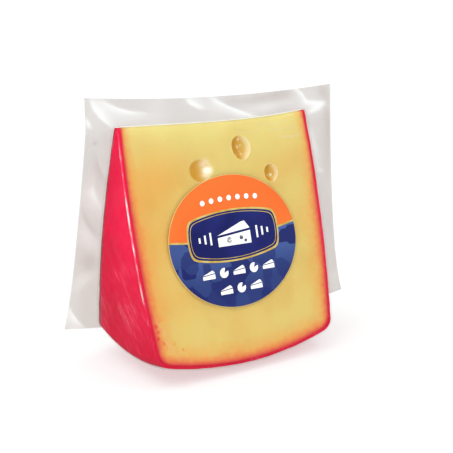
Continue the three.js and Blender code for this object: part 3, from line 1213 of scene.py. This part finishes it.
@dataclass
class PouchWeb:
    """One web of the pouch: film that clings to the wedge and ends in a free sealed margin."""

    wheel: Wheel
    side: Side
    outline: PouchOutline
    creases: list[Crease]
    folds: list[Fold]
    cling: PouchFilm
    margin: PouchFilm
    node: str
    film: float = 0.2
    stand_off: float = 0.4  # from the wedge to the middle of the film
    apart: float = 0.25  # from the seam to the middle of the film
    root: float = 0.15  # the same where the margin starts at the wedge
    seam_left: float = 14.5  # degrees from upright at the left
    seam_right: float = 0.0
    haze: float = 0.28  # whiteness of the smooth margin
    haze_above: float = 0.14  # more of it above the thin edge
    seal_and_highlight: float = 0.5  # whiteness where the margin starts: the seal, with a painted highlight along it
    fold_height: float = 0.2

    def seam_angle(self, across: np.ndarray) -> np.ndarray:
        """The seam's angle from upright towards the back at a place across, in radians."""
        share = ease(across, -self.wheel.width / 2, self.wheel.width / 2)
        return np.radians(self.seam_left + (self.seam_right - self.seam_left) * share)

    def on_seam(self, flat: np.ndarray) -> np.ndarray:
        """Finds points on the seam's surface.

        Args:
            flat: Their place across and their height.

        Returns:
            The points in space.
        """
        fall = np.maximum(self.wheel.axis_height - flat[..., 1], 0)
        y = fall * np.tan(self.seam_angle(flat[..., 0]))
        return np.stack([flat[..., 0], y, flat[..., 1]], axis=-1)

    def over_face(self) -> np.ndarray:
        """The film over the cut face and its half of the thin edge.

        Returns:
            Its middle surface, as a grid.
        """
        grow = self.stand_off
        across, down = np.linspace(-1, 1, 150), gather([(0, 0.05), (1, 0.05)], 0, 1, 150)
        radius, place = self.wheel.face(grow, across, down)
        angle = self.wheel.lean(radius, grow) * -self.side.value
        return self.wheel.place(radius, place, angle, grow)

    def over_coat(self) -> np.ndarray:
        """The film from the cut face round the sides and the rim to the seam.

        Returns:
            Its middle surface, as a grid.
        """
        grow = self.stand_off
        down = gather([(0, 0.05), (1, 0.05)], 0, 1, 150)
        line = self.wheel.round_the_coat(grow, down, np.linspace(-1, 1, 150))
        radius, place = line[:, :1], line[:, 1:]
        start = self.wheel.lean(radius, grow) * -self.side.value
        share = np.linspace(0, 1, 60)[None, :]
        angle = start + (-self.seam_angle(place) - start) * share
        points = self.wheel.place(radius, place, angle, grow)
        shift = self.side.value * self.root * share**4 * ease(radius, 0, 4)
        return points + np.stack([0 * shift, shift, 0 * shift], axis=-1)

    def margins(self) -> list[np.ndarray]:
        """The free margin on the seam's surface.

        Returns:
            Three grids: down the left side, over the top, down the right side.
        """
        wheel, grow = self.wheel, self.stand_off
        side, _ = wheel.outline(grow)
        top = wheel.axis_height + grow
        across = np.linspace(0, 1, 70) ** 0.9
        long, short = np.linspace(0, 1, 140), np.linspace(-1, 1, 130)
        made = []
        for sign, edge in ((-1, self.outline.left), (1, self.outline.right)):
            angle = float(self.seam_angle(np.array(sign * wheel.width)))
            low = self.outline.foot(sign * (wheel.width / 2 - wheel.side_taper))
            height = top + (low - top) * long
            reach = np.maximum(wheel.axis_height - height, 0) / math.cos(angle)
            beside = np.interp(reach, side[:, 0], side[:, 1])
            inner = np.stack([sign * beside, height], axis=-1)
            outer = edge(long)
            flat = inner[:, None] * (1 - across[None, :, None]) + outer[:, None] * across[None, :, None]
            made.append(self.on_seam(flat))
        wide = np.stack([short * (wheel.width / 2 + grow), np.full_like(short, top)], axis=-1)
        outer = self.outline.top((short + 1) / 2)
        flat = wide[:, None] * (1 - across[None, :, None]) + outer[:, None] * across[None, :, None]
        over = self.on_seam(flat)
        over[..., 2] -= wheel.sag_at(wide[:, 0])[:, None] * (1 - across[None, :]) ** 2
        made.insert(1, over)
        return made

    def cling_relief(self, grid: np.ndarray) -> tuple[np.ndarray, np.ndarray]:
        """Reads the creases of the clinging film.

        Args:
            grid: Points on the film.

        Returns:
            How far creases lift each point, and how much painted highlight they put on it.
        """
        lift, white = np.zeros(grid.shape[:-1]), np.zeros(grid.shape[:-1])
        for crease in self.creases:
            rise, pale = crease.press(grid)
            lift, white = lift + rise, np.maximum(white, pale)
        return lift, white

    def margin_relief(self, grid: np.ndarray) -> tuple[np.ndarray, np.ndarray]:
        """Reads the folds and the swell of the free margin.

        Args:
            grid: Points on the margin.

        Returns:
            How far each point stands out of the smooth surface, and how white it is: the margin's haze
            with the painted highlights and painted shades of its folds.
        """
        # The folds' painted highlights and painted shades, which also set how far they lift.
        shape = sum(fold.press(grid) for fold in self.folds)
        flat = grid * (1, 0, 0.5)
        tip = self.wheel.axis_height
        above = self.haze_above * ease(grid[..., 2], tip - 6, tip + 3)
        white = np.clip(self.haze + above + 0.05 * swell(flat, 16, 23) + shape, 0, 1)
        return 0.25 * swell(flat, 24, 21) + self.fold_height * np.clip(shape, -1, 1), white

    def build(self, name: str) -> bpy.types.Object:
        """Makes the web and dresses it.

        Args:
            name: The piece's name.

        Returns:
            The piece.
        """
        work = Patchwork()
        facing = self.side is Side.FRONT
        face, coat = self.over_face(), self.over_coat()
        cosine, sine = math.cos(self.wheel.half_angle), math.sin(self.wheel.half_angle)
        lift, white = self.cling_relief(face)
        out_of_face = np.array([0.0, self.side.value * cosine, sine])
        work.add(face + out_of_face * lift[..., None], turn=not facing, fold=white)
        lift, white = self.cling_relief(coat)
        outwards = np.sign(coat[..., :1]) * np.array([1.0, 0.0, 0.0])
        work.add(coat + outwards * lift[..., None], turn=facing, fold=white)
        for number, grid in enumerate(self.margins()):
            share = np.linspace(0, 1, grid.shape[1])[None, :]
            lift, white = self.margin_relief(grid)
            lift = lift * ease(share, 0, 0.35) * (1 - 0.6 * ease(share, 0.8, 1))
            white = np.maximum(white, self.seal_and_highlight * ease(share, 0.07, 0))
            shift = self.side.value * (self.root + (self.apart - self.root) * ease(share, 0, 0.1))
            moved = grid.copy()
            moved[..., 1] += shift - lift
            turn = (number == 1) == facing
            work.add(moved, slot=1, turn=turn, fold=white)
        piece = work.build(name, [self.cling.build(), self.margin.build()], 60)
        thick = piece.modifiers.new("film_thickness", "SOLIDIFY")
        thick.thickness, thick.offset = self.film * MM, 0.0
        place_on_frame(piece, self.node)
        return piece


@dataclass(frozen=True)
class PouchMargins:
    """How far the pouch's edge stands beyond the wheel and the table, as the CAD model has it."""

    left: tuple[float, float, float] = (13.2, 13.4, 15.6)  # at the top, the middle and the foot
    right: tuple[float, float, float] = (15.2, 18.8, 25.2)
    top: tuple[float, float, float] = (12.8, 9.1, 10.4)  # at the left, the middle and the right
    foot: tuple[float, float, float] = (14.7, 9.0, 15.2)

    def outline(self, wheel: Wheel) -> PouchOutline:
        """Draws the pouch's edge.

        Args:
            wheel: The wheel whose wedge it goes round.

        Returns:
            The edge.
        """
        half, tip = wheel.width / 2, wheel.axis_height
        return PouchOutline(
            top_left=np.array([-half - self.left[0], tip + self.top[0]]),
            top_right=np.array([half + self.right[0], tip + self.top[2]]),
            foot_left=np.array([-half - self.left[2], self.foot[0]]),
            foot_right=np.array([half + self.right[2], self.foot[2]]),
            left_middle=np.array([-half - self.left[1], tip / 2]),
            right_middle=np.array([half + self.right[1], tip / 2]),
            top_middle=np.array([0.0, tip + self.top[1]]),
            foot_middle=np.array([0.0, self.foot[1]]),
        )


@dataclass
class Pouch:
    """The vacuum pouch: two webs of film, creased alike where they are sealed together."""

    wheel: Wheel
    margins: PouchMargins = PouchMargins()
    cling: PouchFilm = PouchFilm("clinging_vacuum_film", "#FEFEFD", milk=0.0, gloss=0.35)
    margin: PouchFilm = PouchFilm(
        "sealed_margin_of_vacuum_film", "#F2EFEE", milk=0.02, crease=0.08, through=0.5, gloss=0.3
    )

    def folds(self) -> list[Fold]:
        """The soft folds of the free margin with their painted highlights and shades, the same in both
        webs.

        Returns:
            The folds, the ones above the thin edge first.
        """
        left, right, tip = -self.wheel.width / 2, self.wheel.width / 2, self.wheel.axis_height
        over = [  # above the thin edge, by place across and height over the thin edge
            Fold(((left - 10.4, 11.7), (left - 7.6, 6.3), (left - 0.8, 0.0)), 0.7, 0.8, 3.0),
            Fold(((left - 5.5, 11.0), (left + 2.5, 6.8), (left + 12.8, 4.8)), 0.65, 0.8, -2.6),
            Fold(((left - 12.9, 4.4), (left - 12.0, 2.6), (left - 10.9, 1.3)), 0.6, 0.9),
            Fold(((left + 32.6, 9.1), (left + 36.0, 6.8), (left + 40.8, 4.7)), 0.75, 1.0, 2.4),
            Fold(((-1.4, 8.7), (7.2, 3.9), (21.6, -1.4)), 0.75, 0.8, -1.8),
            Fold(((right - 6.3, 10.0), (right - 1.7, 7.5), (right + 1.2, 4.1)), 0.7, 0.8, -1.3),
            Fold(((right + 0.6, 3.7), (right + 6.3, 2.4), (right + 12.5, 2.0)), 0.75, 1.1, -1.8),
            Fold(((right + 10.8, 1.6), (right + 6.9, -0.3), (right + 3.5, -1.4)), 0.6, 1.3),
            Fold(((right + 8.3, 9.0), (right + 11.0, 7.5), (right + 13.5, 4.8)), -0.28, 3.0),
            Fold(((5.7, 5.8), (24.3, 6.8), (43.7, 8.4)), -0.24, 2.2),
            Fold(((18.0, 2.2), (29.6, 2.9), (39.4, 3.6)), 0.2, 2.0),
        ]
        beside = [  # down the sides, by place across and share of the height
            Fold(((left - 9.5, 0.948), (left - 8.7, 0.947), (left - 7.8, 0.946)), -0.5, 0.5),
            Fold(((left - 7.7, 0.888), (left - 5.8, 0.835), (left - 2.2, 0.778)), -0.3, 0.8, -3.0),
            Fold(((left - 8.1, 0.766), (left - 7.6, 0.733), (left - 3.8, 0.672)), 0.5, 1.5, -2.4),
            Fold(((left - 11.7, 0.674), (left - 8.7, 0.606), (left - 3.2, 0.542)), -0.32, 0.7, 2.0),
            Fold(((left - 13.1, 0.6), (left - 7.2, 0.537), (left - 3.5, 0.487)), 0.2, 3.0),
            Fold(((left - 11.2, 0.477), (left - 7.2, 0.44), (left - 4.4, 0.43)), -0.26, 4.0),
            Fold(((left - 12.7, 0.321), (left - 8.4, 0.359), (left - 3.4, 0.373)), 0.22, 3.0),
            Fold(((left - 14.5, 0.243), (left - 11.6, 0.188), (left - 6.6, 0.131)), 0.7, 0.8, -3.6),
            Fold(((right + 4.3, 0.916), (right + 6.8, 0.839), (right + 9.4, 0.748)), 0.3, 2.0),
            Fold(((right + 8.8, 0.735), (right + 10.6, 0.724), (right + 12.4, 0.717)), 0.35, 0.9),
            Fold(((right + 13.4, 1.02), (right + 14.0, 0.943), (right + 15.3, 0.7)), -0.2, 2.2),
            Fold(((right + 14.6, 0.6), (right + 17.0, 0.5), (right + 18.0, 0.4)), -0.12, 5.0),
            Fold(((right + 20.6, 0.245), (right + 21.4, 0.196), (right + 22.8, 0.145)), 0.2, 3.0),
        ]
        raised = [fold.at_heights(lambda z: tip + z) for fold in over]
        return raised + [fold.at_heights(lambda z: tip * z) for fold in beside]

    def corner_creases(self) -> list[Crease]:
        """The tight film over the long corner between the left side and the front face, with a painted
        highlight.

        Returns:
            Short creases with painted highlights, end to end down the corner.
        """
        wheel, grow = self.wheel, PouchWeb.stand_off
        side, _ = wheel.outline(grow)
        dice = np.random.default_rng(3)

        def at(radius: float) -> np.ndarray:
            """A point of the corner.

            Args:
                radius: Its radius from the axis.

            Returns:
                The point in space, moved a little to the front or the back.
            """
            spot = np.array(radius + 0.0)
            across = -np.interp(spot, side[:, 0], side[:, 1])
            jog = np.array([0.0, dice.uniform(-0.45, 0.45), 0.0])
            return wheel.place(spot, across, wheel.lean(spot, grow), grow) + jog

        stops = [3, 12, 19, 27, 33, 41, 47, 54, 62, 70, 79]
        # How strong the painted highlight is on each crease down the corner.
        painted_highlights = [0.25, 0.6, 0.3, 0.85, 0.95, 0.5, 0.9, 0.35, 0.6, 0.15]
        made = []
        for first, last, pale in zip(stops, stops[1:], painted_highlights):
            ends = (at(first - 0.8), at((first + last) / 2), at(last + 0.8))
            made.append(Crease(*ends, height=0.12, width=0.22, white=pale))
        return made

    def face_creases(self) -> list[Crease]:
        """The fine wrinkles of the film over the front cut face, with faint painted highlights.

        Returns:
            The wrinkles, the ones with stronger painted highlights near the thin edge first.
        """
        out = PouchWeb.stand_off
        near_thin_edge = [  # each by three places across and down the face
            ((16, 1.5), (26, 3.2), (36, 2.6)), ((22, 4.6), (31, 5.6), (40, 4.4)),
            ((8, 3.0), (14, 5.0), (22, 5.8)), ((30, 8.5), (36, 9.5), (42, 8.0)),
        ]
        near_rim = [((-41, 84), (-38, 88), (-34, 95)), ((-43, 74), (-41, 80), (-38, 84))]
        made = []
        # white: how strong the painted highlight is along each wrinkle.
        for white, wrinkles in ((0.13, near_thin_edge), (0.05, near_rim)):
            for wrinkle in wrinkles:
                line = [self.wheel.on_face(np.array(x), np.array(drop), out) for x, drop in wrinkle]
                made.append(Crease(*line, height=0.16, width=0.4, white=white))
        return made

    def side_creases(self) -> list[Crease]:
        """The steep fine wrinkles of the film over the wax on the left side, with faint painted
        highlights.

        Returns:
            The wrinkles, scattered alike on every run.
        """
        dice = np.random.default_rng(7)
        beside = self.wheel.width / 2 - 0.3
        made = []
        for _ in range(46):
            height, back = dice.uniform(12, 66), dice.uniform(-0.9, 0.85)
            long, tilt = dice.uniform(5, 18), dice.uniform(0.85, 1.2)
            spread = (self.wheel.axis_height - height) * math.tan(self.wheel.half_angle)
            middle = np.array([-beside, back * spread, height])
            way = np.array([0.0, -tilt, -1.0]) * long / 2
            bow = np.array([0.0, dice.uniform(-0.8, 0.8), 0.0])
            # pale: how strong the painted highlight is along the wrinkle.
            lift, pale = dice.uniform(0.03, 0.1), dice.uniform(0.03, 0.16)
            line = (middle - way, middle + bow, middle + way)
            made.append(Crease(*line, height=lift, width=dice.uniform(0.22, 0.4), white=pale))
        return made

    def build(self) -> list[bpy.types.Object]:
        """Makes both webs and dresses them.

        Returns:
            The front web and the back one.
        """
        outline, folds = self.margins.outline(self.wheel), self.folds()
        creases = self.face_creases() + self.side_creases() + self.corner_creases()
        front = PouchWeb(
            self.wheel, Side.FRONT, outline, creases, folds, self.cling, self.margin, "pouch_front_web"
        )
        back = PouchWeb(
            self.wheel, Side.BACK, outline, [], folds, self.cling, self.margin, "pouch_back_web"
        )
        return [front.build("vacuum_pouch_front_web"), back.build("vacuum_pouch_back_web")]


# ---------------------------------------------------------------------------------------- label


class Ink(Enum):
    """The label's paper and inks, in the order of its material slots."""

    PAPER = 0
    ORANGE = 1
    NAVY = 2
    GOLD = 3
    PLAQUE = 4
    WHITE = 5


@dataclass
class OvalLabel:
    """The oval sticker on the front of the pouch, with a plain printed scheme.

    It has an orange field over a dark blue one, a gold line between them, a plain plaque in the
    middle and small pictograms of cheese. It carries no lettering.
    """

    wheel: Wheel
    middle: tuple[float, float]  # place across and drop down the face
    width: float
    height: float
    base: float = 0.8  # from the cut face to the back of the paper
    thickness: float = 0.2
    rim: float = 0.2  # bare paper round the print
    film: float = 0.02  # height of one layer of ink
    plaque_width: float = 44.0

    @classmethod
    def fitted(cls, wheel: Wheel, low: np.ndarray, high: np.ndarray) -> "OvalLabel":
        """Fits the label to the box of its CAD node.

        Args:
            wheel: The wheel whose wedge it is on.
            low: The lowest corner of the box.
            high: Its highest corner.

        Returns:
            The label.
        """
        cosine, sine = math.cos(wheel.half_angle), math.sin(wheel.half_angle)
        height = float((high[2] - low[2] - cls.thickness * sine) / cosine)
        out = wheel.tip_radius + cls.base + cls.thickness / 2
        top = wheel.axis_height - wheel.tip_radius + out * sine
        middle = (float(low[0] + high[0]) / 2, float(top - (low[2] + high[2]) / 2) / cosine)
        return cls(wheel, middle, float(high[0] - low[0]), height)

    def finishes(self) -> list[bpy.types.Material]:
        """The paper's and the inks' materials.

        Returns:
            The materials in slot order.
        """
        return [
            PrintedInk("coated_label_paper", "#E2C27C", "#E6CA88").build(),
            PrintedInk("orange_offset_ink", "#EE7830", "#EE6C28", facet=30.0).build(),
            PrintedInk("navy_offset_ink", "#1A2468", "#4A66A4", facet=9.0, facets=True).build(),
            PrintedInk("gold_offset_ink", "#D9B24A", "#EBD27C", facet=4.0, metallic=0.25).build(),
            PrintedInk("dark_navy_offset_ink", "#151C60", "#1D2670", facet=12.0).build(),
            PrintedInk("white_offset_ink", "#FFFFFF", "#FAFAF8", facet=6.0).build(),
        ]

    def in_space(self, flat: np.ndarray, out: np.ndarray) -> np.ndarray:
        """Turns points of the label's own plane, x across and y up, into points in space."""
        across, drop = self.middle
        return self.wheel.on_face(flat[..., 0] + across, drop - flat[..., 1], out)

    def half_height(self, x: np.ndarray, inset: float) -> np.ndarray:
        """Half of the oval's height at a place across it, inset from its edge."""
        share = np.clip(x / (self.width / 2 - inset), -1, 1)
        return (self.height / 2 - inset) * np.sqrt(1 - share**2)

    def line(self, x: np.ndarray) -> np.ndarray:
        """The height of the line between the two fields."""
        share = x * 2 / self.width
        return 1.0 + 2.9 * share**2 + 0.6 * share

    def band(self, reach: float, top: Callable, bottom: Callable, rows: int = 10) -> np.ndarray:
        """A grid between two curves.

        Args:
            reach: How far it goes to the left and to the right.
            top: Gives the upper curve's height at a place across.
            bottom: Gives the lower curve's height.
            rows: How many rows it has.

        Returns:
            Points of the label's plane.
        """
        x = reach * np.sin(np.linspace(-math.pi / 2, math.pi / 2, 161))
        share = np.linspace(0, 1, rows)[:, None]
        low, high = np.minimum(bottom(x), top(x)), top(x)
        y = low + (high - low) * share
        return np.stack([np.broadcast_to(x, y.shape), y], axis=-1)

    def plaque(self, grow: float) -> np.ndarray:
        """The plaque in the middle.

        Args:
            grow: How far its edge is moved out, or in when below 0.

        Returns:
            Points of the label's plane.
        """
        reach = self.plaque_width / 2 + grow

        def end(x: np.ndarray) -> np.ndarray:
            """Rounds the plaque's ends."""
            return np.clip(1 - np.abs(x / reach) ** 26, 0, 1) ** 0.5

        def top(x: np.ndarray) -> np.ndarray:
            """The plaque's upper edge."""
            return 2.5 + (10.3 + grow - 3.0 * (x / reach) ** 2) * end(x)

        def bottom(x: np.ndarray) -> np.ndarray:
            """The plaque's lower edge."""
            return 2.5 - (10.3 + grow - 3.2 * (x / reach) ** 2) * end(x)

        return self.band(reach, top, bottom, 14)

    @staticmethod
    def sheet(corners: list[tuple[float, float]], steps: int = 6) -> np.ndarray:
        """A grid over a shape with four corners.

        Args:
            corners: The corners, round it from the lower left.
            steps: How many points it has each way.

        Returns:
            Points of the label's plane.
        """
        a, b, c, d = (np.array(p, float) for p in corners)
        u, v = np.meshgrid(np.linspace(0, 1, steps), np.linspace(0, 1, steps))
        u, v = u[..., None], v[..., None]
        return (a * (1 - u) + b * u) * (1 - v) + (d * (1 - u) + c * u) * v

    @staticmethod
    def disc(x: float, y: float, radius: float, turn: tuple[float, float] = (0.0, 360.0)) -> np.ndarray:
        """A disc or a part of one.

        Args:
            x: Its middle's place across the label.
            y: Its middle's height on the label.
            radius: Its radius.
            turn: The angles in degrees that it goes from and to.

        Returns:
            Points of the label's plane.
        """
        angle = np.radians(np.linspace(*turn, 41))[None, :]
        ring = np.linspace(0, radius, 5)[:, None]
        return np.stack([x + ring * np.cos(angle), y + ring * np.sin(angle)], axis=-1)[:, ::-1]

    def wedge_sign(self, x: float, y: float, size: float) -> list[np.ndarray]:
        """A pictogram of a wedge of cheese.

        Args:
            x: Its middle's place across the label.
            y: Its middle's height on the label.
            size: Half of its width.

        Returns:
            Its top and its side, as points of the label's plane.
        """
        top = ((-1, 0.06), (1, 0.22), (0.72, 0.62), (0.5, 0.6))
        side = ((-1, -0.52), (1, -0.56), (1, 0.1), (-1, -0.06))
        return [self.sheet([(x + a * size, y + b * size) for a, b in part]) for part in (top, side)]

    def prints(self) -> list[tuple[Ink, np.ndarray]]:
        """Draws every printed shape.

        Returns:
            Each shape with its ink, the lowest layer first.
        """
        inset = self.rim
        reach = self.width / 2 - inset - 0.02

        def oval(x: np.ndarray) -> np.ndarray:
            """The print's outer edge, above the middle."""
            return self.half_height(x, inset)

        def under_oval(x: np.ndarray) -> np.ndarray:
            """The outer edge below the middle."""
            return -oval(x)

        def orange_foot(x: np.ndarray) -> np.ndarray:
            """The lower edge of the orange field."""
            return np.minimum(self.line(x), oval(x))

        def navy_top(x: np.ndarray) -> np.ndarray:
            """The upper edge of the navy field."""
            return np.clip(self.line(x), -oval(x), oval(x))

        def gold_top(x: np.ndarray) -> np.ndarray:
            """The upper edge of the gold line."""
            return np.minimum(self.line(x) + 0.4, oval(x))

        def gold_foot(x: np.ndarray) -> np.ndarray:
            """The lower edge of the gold line."""
            return self.line(x) - 0.4

        shapes = [
            (Ink.ORANGE, self.band(reach, oval, orange_foot, 24)),
            (Ink.NAVY, self.band(reach, navy_top, under_oval, 24)),
            (Ink.GOLD, self.band(reach, gold_top, gold_foot, 3)),
            (Ink.GOLD, self.plaque(0.75)),
            (Ink.PLAQUE, self.plaque(0.0)),
            (Ink.GOLD, self.plaque(-0.7)),
            (Ink.PLAQUE, self.plaque(-0.95)),
        ]
        shapes += [(Ink.WHITE, part) for part in self.wedge_sign(0, 2.6, 8.2)]
        holes = ((-2.6, 0.5, 1.25), (3.4, 0.9, 0.9), (5.4, -0.6, 0.7))
        shapes += [(Ink.PLAQUE, self.disc(*hole)) for hole in holes]
        for sign in (-1, 1):
            for step in range(3):
                x, y, tall = sign * (11.6 + 2.7 * step), 2.3, 2.6 - 0.75 * step
                left, right = x - 0.45, x + 0.45
                corners = [(left, y - tall), (right, y - tall), (right, y + tall), (left, y + tall)]
                shapes.append((Ink.WHITE, self.sheet(corners)))
        for step in range(-3, 4):
            shapes.append((Ink.WHITE, self.disc(step * 4.4, 18.2 - 0.09 * step * step, 1.15)))
        for x, y in ((-15, -12.6), (0, -12.6), (15, -12.6), (-7.5, -20.0), (7.5, -20.0)):
            shapes += [(Ink.WHITE, part) for part in self.wedge_sign(x, y, 3.0)]
        for x, y in ((-7.5, -12.6), (7.5, -12.6), (0, -20.0)):
            shapes.append((Ink.WHITE, self.disc(x, y, 2.1, (70.0, 380.0))))
        return shapes

    def paper(self) -> np.ndarray:
        """The paper with its rounded edge.

        Returns:
            A grid from the middle of its front over the edge to the middle of its back.
        """
        angle = np.linspace(0, 2 * math.pi, 161)
        inner = np.linspace(0, 1, 14)[:-1]
        turn = np.linspace(math.pi / 2, -math.pi / 2, 7)
        half, reach = self.thickness / 2, self.height / 2
        inset = np.concatenate([(inner - 1) * self.height / 2, half * (np.cos(turn) - 1), [-reach]])
        out = np.concatenate([np.full(len(inner), half), half * np.sin(turn), [-half]]) + self.base + half
        share = 1 + inset / (self.height / 2)
        x = np.cos(angle)[None, :] * (self.width / 2 * share)[:, None]
        y = np.sin(angle)[None, :] * (self.height / 2 * share)[:, None]
        return self.in_space(np.stack([x, y], axis=-1), np.broadcast_to(out[:, None], x.shape))

    def build(self) -> bpy.types.Object:
        """Makes the label and prints it.

        Returns:
            The piece.
        """
        work = Patchwork()
        work.add(self.paper(), slot=Ink.PAPER.value, rise=np.zeros(1))
        for layer, (ink, flat) in enumerate(self.prints()):
            depth = self.base + self.thickness + self.film * (1 + min(layer, 8) * 0.75)
            rise = ease(flat[..., 1], -self.height * 0.34, self.height * 0.02)
            grid = self.in_space(flat, np.full(flat.shape[:2], depth))
            work.add(grid, slot=ink.value, turn=True, rise=rise)
        piece = work.build("oval_printed_label", self.finishes(), 40)
        place_on_frame(piece, "label")
        return piece


# --------------------------------------------------------------------------------------- studio


@dataclass(frozen=True)
class Softbox:
    """A soft lamp aimed at the wedge."""

    name: str
    spot: tuple[float, float, float]
    size: tuple[float, float]  # width and height
    watts: float
    gleams: bool = True  # whether gloss mirrors it

    def hang(self) -> None:
        """Puts the lamp into the scene."""
        light = bpy.data.lights.new(self.name, "AREA")
        light.shape = "RECTANGLE"
        light.size, light.size_y = self.size[0] * MM, self.size[1] * MM
        light.energy = self.watts
        lamp = bpy.data.objects.new(self.name, light)
        lamp.location = Vector(self.spot) * MM
        aim = (CAD_BOX[0] + CAD_BOX[1]) / 2
        lamp.rotation_euler = (aim - lamp.location).to_track_quat("-Z", "Y").to_euler()
        lamp.visible_glossy = self.gleams
        bpy.context.scene.collection.objects.link(lamp)


@dataclass
class Studio:
    """A pale floor, soft white light and the camera."""

    azimuth: float = -32.98
    elevation: float = 14.87
    distance: float = 436.8
    lens: float = 80.0
    aim_from_middle: tuple[float, float, float] = (4.2, -2.7, 4.45)
    floor_size: float = 12000.0
    floor_colour: str = "#B8BDBD"
    floor_light: float = 0.51  # that comes through the table, which keeps the shadow faint
    daylight: float = 0.72  # of the white surroundings, on matt surfaces
    gleam: float = 0.06  # of the surroundings, in gloss
    wall: float = 0.5  # of the wall behind the object, in gloss
    seen: float = 1.05  # brightness of the surroundings to the eye, which makes them plain white
    sun: float = 1.1
    softboxes: tuple[Softbox, ...] = (
        Softbox("front_left_softbox", (-900, -520, 300), (240, 320), 3.2, gleams=False),
        Softbox("right_strip_softbox", (900, -500, 100), (120, 600), 0.8),
        Softbox("back_left_softbox", (-700, 500, 900), (500, 300), 1.5),
    )

    def floor(self) -> None:
        """A light table with a matt top, which gloss doesn't mirror."""
        material, tree, output = new_material("matt_light_table")
        matt = add(tree, "BsdfDiffuse", {}, Color=linear(self.floor_colour))
        lit = add(tree, "Emission", {}, Color=linear("#FFFFFF"), Strength=self.floor_light)
        both = add(tree, "AddShader", {}, n0=matt.outputs[0], n1=lit.outputs[0])
        tree.links.new(both.outputs[0], output.inputs[0])
        half = self.floor_size / 2
        shares = np.linspace(-half, half, 9)
        x, y = np.meshgrid(shares, shares)
        work = Patchwork()
        work.add(np.stack([x, y, np.zeros_like(x)], axis=-1), turn=True)
        made = work.build("studio_floor", [material], 60)
        made.visible_glossy = False

    def surroundings(self) -> None:
        """White to the eye, dim in gloss, so that colours stay deep and lamps give the gleams."""
        world = bpy.data.worlds.new("soft_studio")
        bpy.context.scene.world = world
        world.use_nodes = True
        tree = world.node_tree
        tree.nodes.clear()
        path = add(tree, "LightPath", {})
        seen = add(tree, "Background", {}, Color=linear("#FFFFFF"), Strength=self.seen)
        lit = add(tree, "Background", {}, Color=linear("#FFFDFB"), Strength=self.daylight)
        way, turn = add(tree, "TexCoord", {}).outputs["Generated"], math.radians(self.azimuth)
        behind = (-math.sin(turn), math.cos(turn), 0.0)
        facing = add(tree, "VectorMath", {"operation": "DOT_PRODUCT"}, n0=way, n1=behind)
        facing = facing.outputs["Value"]
        wall = add(tree, "MapRange", {}, Value=facing, n1=0.6, n2=0.95, n3=self.gleam, n4=self.wall)
        mirrored = add(tree, "Background", {}, Color=linear("#FFFFFF"), Strength=wall.outputs[0])
        gloss, eye = path.outputs["Is Glossy Ray"], path.outputs["Is Camera Ray"]
        first = add(tree, "MixShader", {}, n0=gloss, n1=lit.outputs[0], n2=mirrored.outputs[0])
        both = add(tree, "MixShader", {}, n0=eye, n1=first.outputs[0], n2=seen.outputs[0])
        add(tree, "OutputWorld", {}, Surface=both.outputs[0])
        world.cycles.sampling_method = "NONE"  # rays that leave the scene tell gloss from matt

    def lights(self) -> None:
        """One broad light from above and the softboxes."""
        light = bpy.data.lights.new("overhead_light", "SUN")
        light.energy, light.angle = self.sun, math.radians(70)
        lamp = bpy.data.objects.new("overhead_light", light)
        lamp.rotation_euler = (math.radians(18), math.radians(-14), 0)
        bpy.context.scene.collection.objects.link(lamp)
        for softbox in self.softboxes:
            softbox.hang()

    def camera(self) -> None:
        """The camera, aimed near the middle of the object."""
        low, high = box_of("red_wax_coat")
        aim = Vector(((low + high) / 2 + np.array(self.aim_from_middle)) * MM)
        turn, rise = math.radians(self.azimuth), math.radians(self.elevation)
        back = Vector((math.sin(turn) * math.cos(rise), -math.cos(turn) * math.cos(rise), math.sin(rise)))
        data = bpy.data.cameras.new("camera")
        data.lens, data.sensor_width = self.lens, 36.0
        data.clip_start, data.clip_end = 0.01, 100.0
        camera = bpy.data.objects.new("camera", data)
        camera.location = aim + back * self.distance * MM
        camera.rotation_euler = (-back).to_track_quat("-Z", "Y").to_euler()
        bpy.context.scene.collection.objects.link(camera)
        bpy.context.scene.camera = camera

    def build(self) -> None:
        """Sets up everything that isn't part of the object."""
        self.floor()
        self.surroundings()
        self.lights()
        self.camera()
        bpy.context.scene.view_settings.view_transform = "Standard"
        LOG.info("studio set up")


def main() -> None:
    """Builds the pieces in order, then the studio."""
    logging.basicConfig(level=logging.INFO, format="%(name)s: %(message)s")
    wheel = Wheel(axis_height=float(box_of("red_wax_coat")[1][2]))
    CheesePaste(wheel).build()
    WaxCoat(wheel).build()
    Pouch(wheel).build()
    OvalLabel.fitted(wheel, *box_of("label")).build()
    Studio().build()


if __name__ == "__main__":
    main()
